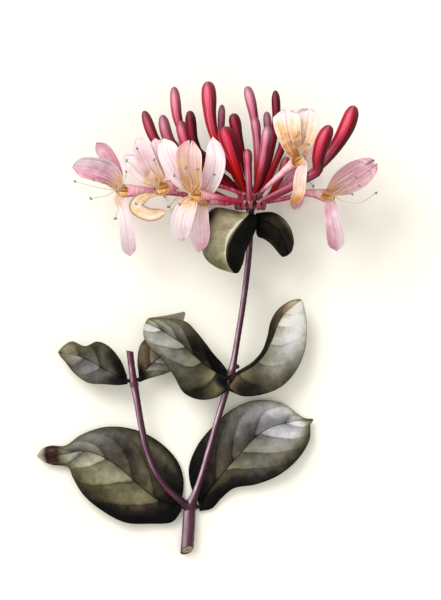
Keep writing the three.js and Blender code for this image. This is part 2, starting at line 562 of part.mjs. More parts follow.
// A petal grows out of the tube's wall a little way in, and leaves over the rim on the side that it leans to
function rootedRib(tubeCurve, rib, facing = [0, 0, 1]) {
  const axis = tubeCurve.getTangentAt(1);
  const face = vector(facing).normalize();
  const mouth = tubeCurve.getPointAt(1);
  const lean = vector(rib[0]).sub(mouth);
  lean.addScaledVector(axis, -lean.dot(axis)).normalize();
  lean.addScaledVector(face, -Math.max(lean.dot(face), 0)).normalize();
  const outOfThroat = (centre, distance) => {
    return centre.addScaledVector(lean, distance).addScaledVector(face, -0.4);
  };
  const rootPoint = outOfThroat(tubeCurve.getPointAt(0.95), THROAT_RADIUS - 0.5);
  const rim = outOfThroat(mouth.addScaledVector(axis, 0.9), THROAT_RADIUS - 0.2);
  return [rootPoint.toArray(), rim.toArray(), ...rib];
}

function corollaGeometry(tubeCurve, petals) {
  const inner = THROAT_RADIUS - THROAT_WALL;
  const tube = [[0, 0], [0.004, TUBE_FOOT_RADIUS], [0.2, 0.78], [0.45, 0.95], [0.65, 1.2], [0.82, 1.7]];
  tube.push([0.93, 2.2], [1, THROAT_RADIUS], [0.995, inner], [0.92, 1.55], [0.84, 1], [0.82, 0]);
  const parts = [sweep(tubeCurve, tube, 8)];
  for (const petal of petals) {
    const rooted = { ...petal, rib: rootedRib(tubeCurve, petal.rib, petal.facing) };
    parts.push(blade(petalSurface(rooted), PETAL_THICKNESS, 6, petal.lobes > 2 ? 8 : 4));
  }
  return toGeometry(join(parts));
}

// Filaments rise out of the throat in one bundle and part above it, each with an anther at its end
function stamenGeometry(tubeCurve, { petals, stamens, stamenRise = 3.4 }) {
  const face = vector(petals[0].facing ?? [0, 0, 1]).normalize();
  const foot = tubeCurve.getPointAt(0.9);
  const outward = tubeCurve.getTangentAt(1);
  const beyondMouth = (ahead, rise) => {
    return tubeCurve.getPointAt(1).addScaledVector(outward, ahead).addScaledVector(face, rise).toArray();
  };
  const above = [beyondMouth(-0.8, 0.8), beyondMouth(0, 1.3), beyondMouth(1.4, stamenRise)];
  const bundle = smoothCurve([foot.toArray(), ...above]);
  const parts = [sweep(bundle, [[0, 0], [0.02, 0.4], [0.35, 0.38], [0.6, 0.38], [0.97, 0.45], [1, 0]], 5)];
  for (const points of stamens) {
    const curve = smoothCurve([bundle.getPointAt(0.93).toArray(), ...points]);
    const profile = [[0, 0], [0.03, FILAMENT_RADIUS], [0.45, FILAMENT_RADIUS], [0.86, FILAMENT_RADIUS]];
    profile.push([0.9, ANTHER_RADIUS], [0.97, ANTHER_RADIUS], [1, 0]);
    parts.push(sweep(curve, profile, 4));
  }
  return toGeometry(join(parts));
}

for (const [name, flower] of Object.entries(flowers)) {
  const tubeCurve = smoothCurve([headPlace(...flower.place), ...flower.tube]);
  addPiece(name, corollaGeometry(tubeCurve, flower.petals), PETAL_PINK, 0.55);
  addPiece(name + "_stamens", stamenGeometry(tubeCurve, flower), STAMEN_GREY, 0.6);
}

// The head's base: a short tapering axis with a small ovary under each flower and bud
function headBaseGeometry() {
  const axis = smoothCurve([[HEAD_X, HEAD_START, HEAD_Z], [HEAD_X, 107.5, HEAD_Z], [HEAD_X, 112.6, HEAD_Z]]);
  const profile = [[0, 0], [0.002, 1.6], [0.03, 4.5], [0.09, 4.5], [0.2, 3.1], [0.45, 2.9], [0.62, 1.6]];
  profile.push([0.8, 1.3], [0.93, 1.0], [1, 0]);
  const parts = [sweep(axis, profile, 10)];
  const places = Object.values(buds).map(([whorl, degrees]) => [whorl, degrees]);
  places.push(...Object.values(flowers).map((flower) => flower.place));
  for (const [[height, radius], degrees] of places) {
    const [x, y, z] = headPlace([height - OVARY_DROP - OVARY_RADIUS, radius - 0.25], degrees);
    parts.push(new THREE.IcosahedronGeometry(OVARY_RADIUS, 0).translate(x, y, z));
  }
  return toGeometry(join(parts));
}
addPiece("head_base", headBaseGeometry(), OVARY_GREEN, 0.6);

export default root;
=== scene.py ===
import bmesh
import bpy
import numpy as np
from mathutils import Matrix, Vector


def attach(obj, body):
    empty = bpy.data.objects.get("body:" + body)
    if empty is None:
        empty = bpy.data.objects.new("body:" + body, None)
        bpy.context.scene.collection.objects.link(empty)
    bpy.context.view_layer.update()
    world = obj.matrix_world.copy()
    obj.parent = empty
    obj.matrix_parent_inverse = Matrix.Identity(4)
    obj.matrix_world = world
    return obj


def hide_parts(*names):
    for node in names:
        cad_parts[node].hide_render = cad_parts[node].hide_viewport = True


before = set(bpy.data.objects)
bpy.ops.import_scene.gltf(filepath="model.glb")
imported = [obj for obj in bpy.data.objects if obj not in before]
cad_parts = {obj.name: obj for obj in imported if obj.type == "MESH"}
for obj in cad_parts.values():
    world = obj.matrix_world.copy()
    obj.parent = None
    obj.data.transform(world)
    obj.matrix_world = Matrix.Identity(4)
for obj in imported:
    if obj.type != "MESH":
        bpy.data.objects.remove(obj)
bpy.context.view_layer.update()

# The stem. One climbing shoot, woody at the cut end and green wood above it, forks into the main stem and a
# side shoot, and swells into a ring at each pair of leaves. It has a thin purple skin with fine ridges along
# it. A knife cut its foot and the side shoot, and a third shoot has dried back to a stub.
MAIN_STEM = [
    (-1.4, -19.2, 3.1), (-0.6, -8, 2.7), (0, -0.5, 2.5), (1.8, 4, 3.5), (4.2, 11, 5), (7, 21, 6.3),
    (9.9, 31, 7.1), (12.4, 39.5, 7.5), (14.9, 48.6, 8.1), (16.7, 59, 9.6), (18.3, 69, 11.8),
    (19.7, 79.5, 14.5), (20.7, 90, 17.4), (21, 98, 19.7), (21, 103.9, 20.9),
]
MAIN_RADII = [
    (0, 2.3), (0.07, 2.25), (0.12, 2.2), (0.16, 1.7), (0.2, 1.3), (0.26, 1.18), (0.32, 1.12), (0.38, 1.1),
    (0.45, 1.12), (0.5, 1.22), (0.522, 1.38), (0.537, 1.62), (0.547, 1.35), (0.565, 1.17), (0.62, 1.06),
    (0.69, 1.04), (0.76, 1.04), (0.83, 1.06), (0.9, 1.1), (0.96, 1.25), (1, 1.45),
]
SIDE_SHOOT = [
    (0, -1, 2.4), (-3.6, 2, 4), (-7.8, 5.8, 5.2), (-12.6, 13, 6.8), (-15.2, 20, 8), (-17, 28, 9),
    (-18.4, 36, 9.7), (-19.9, 44.8, 10.3), (-21.2, 55.4, 10.8),
]
SHOOT_RADII = [
    (0, 1.5), (0.07, 1.35), (0.15, 1.2), (0.26, 1.18), (0.38, 1.15), (0.5, 1.15), (0.62, 1.18), (0.72, 1.25),
    (0.785, 1.42), (0.8, 1.6), (0.815, 1.38), (0.86, 1.24), (0.93, 1.2), (1, 1.25),
]
MAIN_LENGTH, SHOOT_LENGTH = 128.7, 64.0
MAIN_NODE, SHOOT_NODE = 0.537, 0.8  # where the leaves of the two shoots sit, as a share of their length
STUB = [(14.9, 48.2, 8.2), (16.1, 48.8, 8.9), (17.3, 49.4, 9.1)]
STUB_RADII = [(0, 0.7), (0.5, 0.6), (0.8, 0.85), (0.97, 0.5)]
FORK, FORK_RADIUS = (0, -0.3, 2.2), 2.6
# a cut end: a point on its face, the way the face looks, and the radius of the wood there
CUT_ENDS = [
    ((-1.0, -15.6, 3.0), (0.2595, -0.7834, 0.5646), 2.4),
    ((-21.1, 54.6, 10.8), (0.1987, 0.9801, 0), 1.2),
]
VOXEL = 0.2  # the grid on which the shoots melt into one piece of wood
LINE_POINTS = 500  # points along each shoot's middle line, which the marks on the skin are measured from
SHOOT_START = 200  # the side shoot's length is counted on from here, clear of the main stem's


def through(points, places):
    """The smooth curve through the points, at places from 0 to 1 with an equal share for each span."""
    p = np.array(points, float)
    p = np.vstack([2 * p[0] - p[1], p, 2 * p[-1] - p[-2]])
    place = np.clip(np.asarray(places, float), 0, 1) * (len(p) - 3)
    span = np.minimum(place.astype(int), len(p) - 4)
    w = (place - span)[..., None]
    p0, p1, p2, p3 = (p[span + k] for k in range(4))
    d0, d1, d2 = (np.sum((b - a) ** 2, -1)[..., None] ** 0.25 for a, b in ((p0, p1), (p1, p2), (p2, p3)))
    leave = ((p1 - p0) / d0 - (p2 - p0) / (d0 + d1) + (p2 - p1) / d1) * d1
    arrive = ((p2 - p1) / d1 - (p3 - p1) / (d1 + d2) + (p3 - p2) / d2) * d1
    square, cube = 3 * (p2 - p1) - 2 * leave - arrive, 2 * (p1 - p2) + leave + arrive
    return p1 + leave * w + square * w**2 + cube * w**3


def measured(points, shares):
    """The same curve, with the places measured along its length."""
    places = np.linspace(0, 1, 401)
    run = np.insert(np.cumsum(np.linalg.norm(np.diff(through(points, places), axis=0), axis=1)), 0, 0)
    return through(points, np.interp(np.asarray(shares) * run[-1], run, places))


def unit(vectors):
    return vectors / np.maximum(np.linalg.norm(vectors, axis=-1, keepdims=True), 1e-9)


def bell(distance, width):
    return np.exp(-((distance / width) ** 2))


def radii_at(stops, shares):
    """Radii that pass smoothly through the stops of (share of the length, radius)."""
    line = through([(share * 20, radius) for share, radius in stops], np.linspace(0, 1, 40 * len(stops)))
    return np.maximum(np.interp(np.asarray(shares) * 20, line[:, 0], line[:, 1]), 0.004)


def swept(points, shares, radii, sides, flutes=0.0, count=5):
    """Rings round a curve, as an array (ring, side, xyz), and the turn of each side.

    Flutes are soft furrows, so many round it.
    """
    behind, ahead = (measured(points, np.clip(shares + step, 0, 1)) for step in (-1e-3, 1e-3))
    along = unit(ahead - behind)
    across = unit(np.cross((0.0, 0.0, 1.0), along))
    over = np.cross(along, across)
    turn = np.linspace(0, 2 * np.pi, sides, endpoint=False)
    round_it = across[:, None] * np.cos(turn)[:, None] + over[:, None] * np.sin(turn)[:, None]
    reach = np.asarray(radii)[:, None] * (1 + np.asarray(flutes).reshape(-1, 1) * np.cos(count * turn))
    return measured(points, shares)[:, None] + round_it * reach[..., None], turn


def skin(rings):
    """The points and faces of a closed skin over rings, with a point in the middle of each end."""
    count, sides = rings.shape[:2]
    points = np.vstack([rings.reshape(-1, 3), rings[0].mean(0), rings[-1].mean(0)])
    place = np.arange(count * sides).reshape(count, sides)
    beside = np.roll(place, -1, 1)
    faces = np.stack([place[:-1], beside[:-1], beside[1:], place[1:]], -1).reshape(-1, 4).tolist()
    faces += [(len(points) - 2, b, a) for a, b in zip(place[0].tolist(), beside[0].tolist())]
    faces += [(len(points) - 1, a, b) for a, b in zip(place[-1].tolist(), beside[-1].tolist())]
    return points, faces


def bead(line, radius, taper, rings, sides):
    """The skin of a rounded body along a line: round at a taper of 1, and blunter at less."""
    turn = np.linspace(0, np.pi, rings)[1:-1]
    return skin(swept(line, (1 - np.cos(turn)) / 2, radius * np.sin(turn) ** taper, sides)[0])


def together(shells):
    """One list of points and one of faces from several shells."""
    points, faces, first = [], [], 0
    for shell_points, shell_faces in shells:
        points.append(shell_points)
        faces += [tuple(corner + first for corner in face) for face in shell_faces]
        first += len(shell_points)
    return np.vstack(points), faces


def add_piece(name, points, faces, finishes, marks, face_finish=None):
    """A smooth mesh from points in millimetres, in the place of the CAD node of the same name."""
    mesh = bpy.data.meshes.new(name)
    mesh.from_pydata((np.asarray(points) * 0.001).tolist(), [], faces)
    mesh.shade_smooth()
    for mark, values in marks.items():
        values = np.asarray(values, np.float32)
        kind, field = ("FLOAT_VECTOR", "vector") if values.ndim == 2 else ("FLOAT", "value")
        mesh.attributes.new(mark, kind, "POINT").data.foreach_set(field, values.ravel())
    for finish in finishes:
        mesh.materials.append(finish)
    if face_finish is not None:
        mesh.polygons.foreach_set("material_index", np.asarray(face_finish, np.int32))
    piece = bpy.data.objects.new(name + "_grown", mesh)
    bpy.context.collection.objects.link(piece)
    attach(piece, "root")
    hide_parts(name)


def paint(code):
    """A colour written as on a paint card, in the numbers that a shader takes."""
    parts = [int(code[i:i + 2], 16) / 255 for i in (0, 2, 4)]
    return tuple(v / 12.92 if v < 0.04045 else ((v + 0.055) / 1.055) ** 2.4 for v in parts) + (1,)


class Finish:
    """A material, with short names for the nodes that it is mixed from."""

    def __init__(self, name, roughness, **shader_values):
        self.material = bpy.data.materials.new(name)
        self.material.use_nodes = True
        self.nodes, self.links = self.material.node_tree.nodes, self.material.node_tree.links
        self.shader = self.nodes["Principled BSDF"]
        self.shader.inputs["Roughness"].default_value = roughness
        for socket, value in shader_values.items():
            self.shader.inputs[socket.replace("_", " ")].default_value = value

    def put(self, socket, value):
        if isinstance(value, bpy.types.NodeSocket):
            self.links.new(value, socket)
        else:
            socket.default_value = value

    def node(self, kind, output, settings=None, **inputs):
        node = self.nodes.new("ShaderNode" + kind)
        for setting, value in (settings or {}).items():
            setattr(node, setting, value)
        for socket, value in inputs.items():
            key = int(socket[1:]) if socket[0] == "_" else socket.replace("_", " ")
            self.put(node.inputs[key], value)
        return node.outputs[output]

    def apart(self, vector):
        """The three numbers of a vector."""
        node = self.nodes.new("ShaderNodeSeparateXYZ")
        self.put(node.inputs[0], vector)
        return node.outputs

    def mark(self, name, output="Fac"):
        return self.node("Attribute", output, {"attribute_name": name})

    def marks(self, name):
        """The three numbers of a mark that is a vector."""
        return self.apart(self.mark(name, "Vector"))

    def stretched(self, vector, by):
        return self.node("VectorMath", 0, {"operation": "MULTIPLY"}, _0=vector, _1=by)

    def spot(self, stretch=(1, 1, 1)):
        """The place on the piece in millimetres, stretched for a grain."""
        return self.stretched(self.node("TexCoord", "Object"), tuple(1000 * amount for amount in stretch))

    def noise(self, where, scale, detail=3.0, roughness=0.55):
        return self.node("TexNoise", 0, Vector=where, Scale=scale, Detail=detail, Roughness=roughness)

    def number(self, operation, a, b=0.0, c=0.0):
        return self.node("Math", 0, {"operation": operation}, _0=a, _1=b, _2=c)

    def times(self, a, b):
        return self.number("MULTIPLY", a, b)

    def plus(self, tone, value, weight=1.0):
        """A tone with so much of a value added."""
        return self.number("MULTIPLY_ADD", value, weight, tone)

    def varied(self, tone, value, weight):
        """A tone raised where the value is over a half, and lowered where it is under."""
        return self.plus(tone, self.number("SUBTRACT", value, 0.5), weight)

    def fit(self, value, low, high, to_low=0.0, to_high=1.0):
        """A value from low to high, turned into one from to_low to to_high and held there."""
        return self.node("MapRange", 0, {"interpolation_type": "SMOOTHSTEP"}, _0=value, _1=low, _2=high,
                         _3=to_low, _4=to_high)

    def mix(self, share, first, second):
        node = self.nodes.new("ShaderNodeMix")
        node.data_type = "RGBA"
        for place, value in ((0, share), (6, first), (7, second)):
            self.put(node.inputs[place], paint(value) if isinstance(value, str) else value)
        return node.outputs[2]

    def ramp(self, share, *stops):
        """Colours that run into each other. A stop is (place, colour)."""
        node = self.nodes.new("ShaderNodeValToRGB")
        self.put(node.inputs[0], share)
        row = node.color_ramp.elements
        while len(row) < len(stops):
            row.new(0.5)
        for element, (place, _) in zip(row, stops):
            element.position = place
        for element, (_, code) in zip(row, stops):
            element.color = paint(code)
        return node.outputs[0]

    def done(self, colour, height=None, depth=0.1):
        """Sets the colour, and a relief depth millimetres deep."""
        self.put(self.shader.inputs["Base Color"], colour)
        if height is not None:
            self.put(self.shader.inputs["Normal"], self.node("Bump", 0, Height=height, Distance=depth / 1000))
        return self.material


bark = Finish("stem_skin", 0.45, Specular_IOR_Level=0.2)
lengthwise = bark.noise(bark.mark("lie", "Vector"), 1.0, 4.0, 0.6)
speckle = bark.noise(bark.spot(), 3.2, 2.0)
# a painted highlight along the lit side, over the lengthwise streaks, that runs from painted shade at the
# sides to a pale stripe
shine = bark.plus(bark.times(bark.mark("painted_light"), 0.6), lengthwise, 0.56)
tone = bark.ramp(shine, (0.2, "1b0a12"), (0.38, "3b1927"), (0.58, "5f3446"), (0.76, "9b798a"),
                 (0.92, "d6c1cb"))
tone = bark.mix(bark.fit(speckle, 0.62, 0.72, 0, 0.35), tone, "a9798a")
tone = bark.mix(bark.fit(bark.mark("woody"), 0.1, 1, 0, 0.5), tone, "55353d")
tone = bark.mix(bark.fit(bark.mark("ring"), 0.2, 1, 0, 0.75), tone, "4c141f")
stem_skin = bark.done(tone, lengthwise, 0.12)


def cut_wood(name, centre, radius):
    """The end grain of a cut: pale wood round a brown pith, and dark bark at the rim."""
    wood = Finish(name, 0.7)
    offset = wood.node("VectorMath", 0, {"operation": "SUBTRACT"}, _0=wood.spot(), _1=centre)
    far = wood.number("DIVIDE", wood.node("VectorMath", "Value", {"operation": "LENGTH"}, _0=offset), radius)
    grain = wood.noise(wood.spot(), 6.0)
    tone = wood.ramp(wood.plus(far, grain, 0.12), (0.1, "4a3a30"), (0.3, "86735f"), (0.4, "a6957d"),
                     (0.8, "96846f"), (0.96, "5f4a40"), (1.0, "3a1c26"))
    return wood.done(tone, grain, 0.15)


def grow_stem():
    shells = []
    for line, stops, rings, sides in ((MAIN_STEM, MAIN_RADII, 420, 28), (SIDE_SHOOT, SHOOT_RADII, 220, 24),
                                      (STUB, STUB_RADII, 24, 16)):
        shares = np.linspace(0, 1, rings)
        shells.append(skin(swept(line, shares, radii_at(stops, shares), sides)[0]))
    x, y, z = FORK
    shells.append(bead([(x, y - FORK_RADIUS, z), (x, y + FORK_RADIUS, z)], FORK_RADIUS, 1, 25, 28))
    points, faces = together(shells)
    rough = bpy.data.meshes.new("rough_stem")
    rough.from_pydata(points.tolist(), [], faces)
    lump = bpy.data.objects.new("rough_stem", rough)
    bpy.context.collection.objects.link(lump)
    melt = lump.modifiers.new("melt", "REMESH")
    melt.mode, melt.voxel_size = "VOXEL", VOXEL
    even = lump.modifiers.new("even", "SMOOTH")
    even.factor, even.iterations = 0.5, 6
    melted = bpy.data.meshes.new_from_object(lump.evaluated_get(bpy.context.evaluated_depsgraph_get()))
    bpy.data.objects.remove(lump)
    shape = bmesh.new()
    shape.from_mesh(melted)
    for centre, facing, radius in CUT_ENDS:
        near = {vertex for vertex in shape.verts if (vertex.co - Vector(centre)).length < 5 * radius}
        edges = [edge for edge in shape.edges if near.issuperset(edge.verts)]
        faces = [face for face in shape.faces if near.issuperset(face.verts)]
        cut = bmesh.ops.bisect_plane(shape, geom=list(near) + edges + faces, plane_co=centre,
                                     plane_no=facing, clear_outer=True)
        edge = [piece for piece in cut["geom_cut"] if isinstance(piece, bmesh.types.BMEdge)]
        bmesh.ops.holes_fill(shape, edges=edge)
    shape.faces.ensure_lookup_table()
    faces = [[vertex.index for vertex in face.verts] for face in shape.faces]
    points = np.array([vertex.co for vertex in shape.verts])
    shape.free()
    return points, faces


def on_cut_face(points, centre, facing):
    return np.abs((points - centre) @ np.array(facing)) < 1e-3


stem_points, stem_faces = grow_stem()
# where each point lies along its shoot and round it, then fine ridges along the wood
shares = np.linspace(0, 1, LINE_POINTS)
middle_lines = np.vstack([measured(MAIN_STEM, shares), measured(SIDE_SHOOT, shares)])
nearest = np.concatenate([
    np.argmin(((part[:, None] - middle_lines[None]) ** 2).sum(2), axis=1)
    for part in np.array_split(stem_points, 60)
])
away = stem_points - middle_lines[nearest]
turn = np.arctan2(away[:, 2], away[:, 0])
run = np.where(nearest < LINE_POINTS, nearest / LINE_POINTS * MAIN_LENGTH,
               nearest % LINE_POINTS / LINE_POINTS * SHOOT_LENGTH + SHOOT_START)
ridge = 0.035 * np.cos(7 * turn + 0.05 * run) + 0.02 * np.cos(17 * turn - 0.11 * run) * np.cos(0.9 * run)
ridge += 0.02 * np.sin(2.3 * run + 3 * np.cos(turn))
for centre, facing, _ in CUT_ENDS:
    ridge[on_cut_face(stem_points, centre, facing)] = 0
stem_points = stem_points + unit(away) * ridge[:, None]
stem_points[:, 2] = np.maximum(stem_points[:, 2], 0)
# the wood is redder in the rings at the leaves, at the side shoot's end and at the fork
rings = bell(run - MAIN_NODE * MAIN_LENGTH, 1.6) + bell(run - SHOOT_START - SHOOT_NODE * SHOOT_LENGTH, 1.4)
rings += 0.8 * np.clip((run - SHOOT_START - 0.86 * SHOOT_LENGTH) / 4, 0, 1)
rings += 0.5 * np.exp(-((np.linalg.norm(stem_points - FORK, axis=1) / 3) ** 6))
woody = np.clip(1 - (stem_points[:, 1] + 4) / 6, 0, 1)
# the skin is painted palest along its upper left side, a painted highlight where the light falls, and darker
# round the sides, painted shade
painted_light = np.clip(unit(away) @ unit(np.array((-0.5, 0.1, 0.8))), 0, 1) ** 4
stem_finishes, finish_of = [stem_skin], [0] * len(stem_faces)
for number, (centre, facing, radius) in enumerate(CUT_ENDS, 1):
    stem_finishes.append(cut_wood("cut_end_%d" % number, centre, radius))
    for place, face in enumerate(stem_faces):
        if len(face) > 4 and on_cut_face(stem_points[face[0]], centre, facing):
            finish_of[place] = number
lie = np.stack([2.2 * np.cos(turn), 2.2 * np.sin(turn), run * 0.16], 1)
add_piece("stem", stem_points, stem_faces, stem_finishes,
          {"lie": lie, "ring": rings, "woody": woody, "painted_light": painted_light}, finish_of)
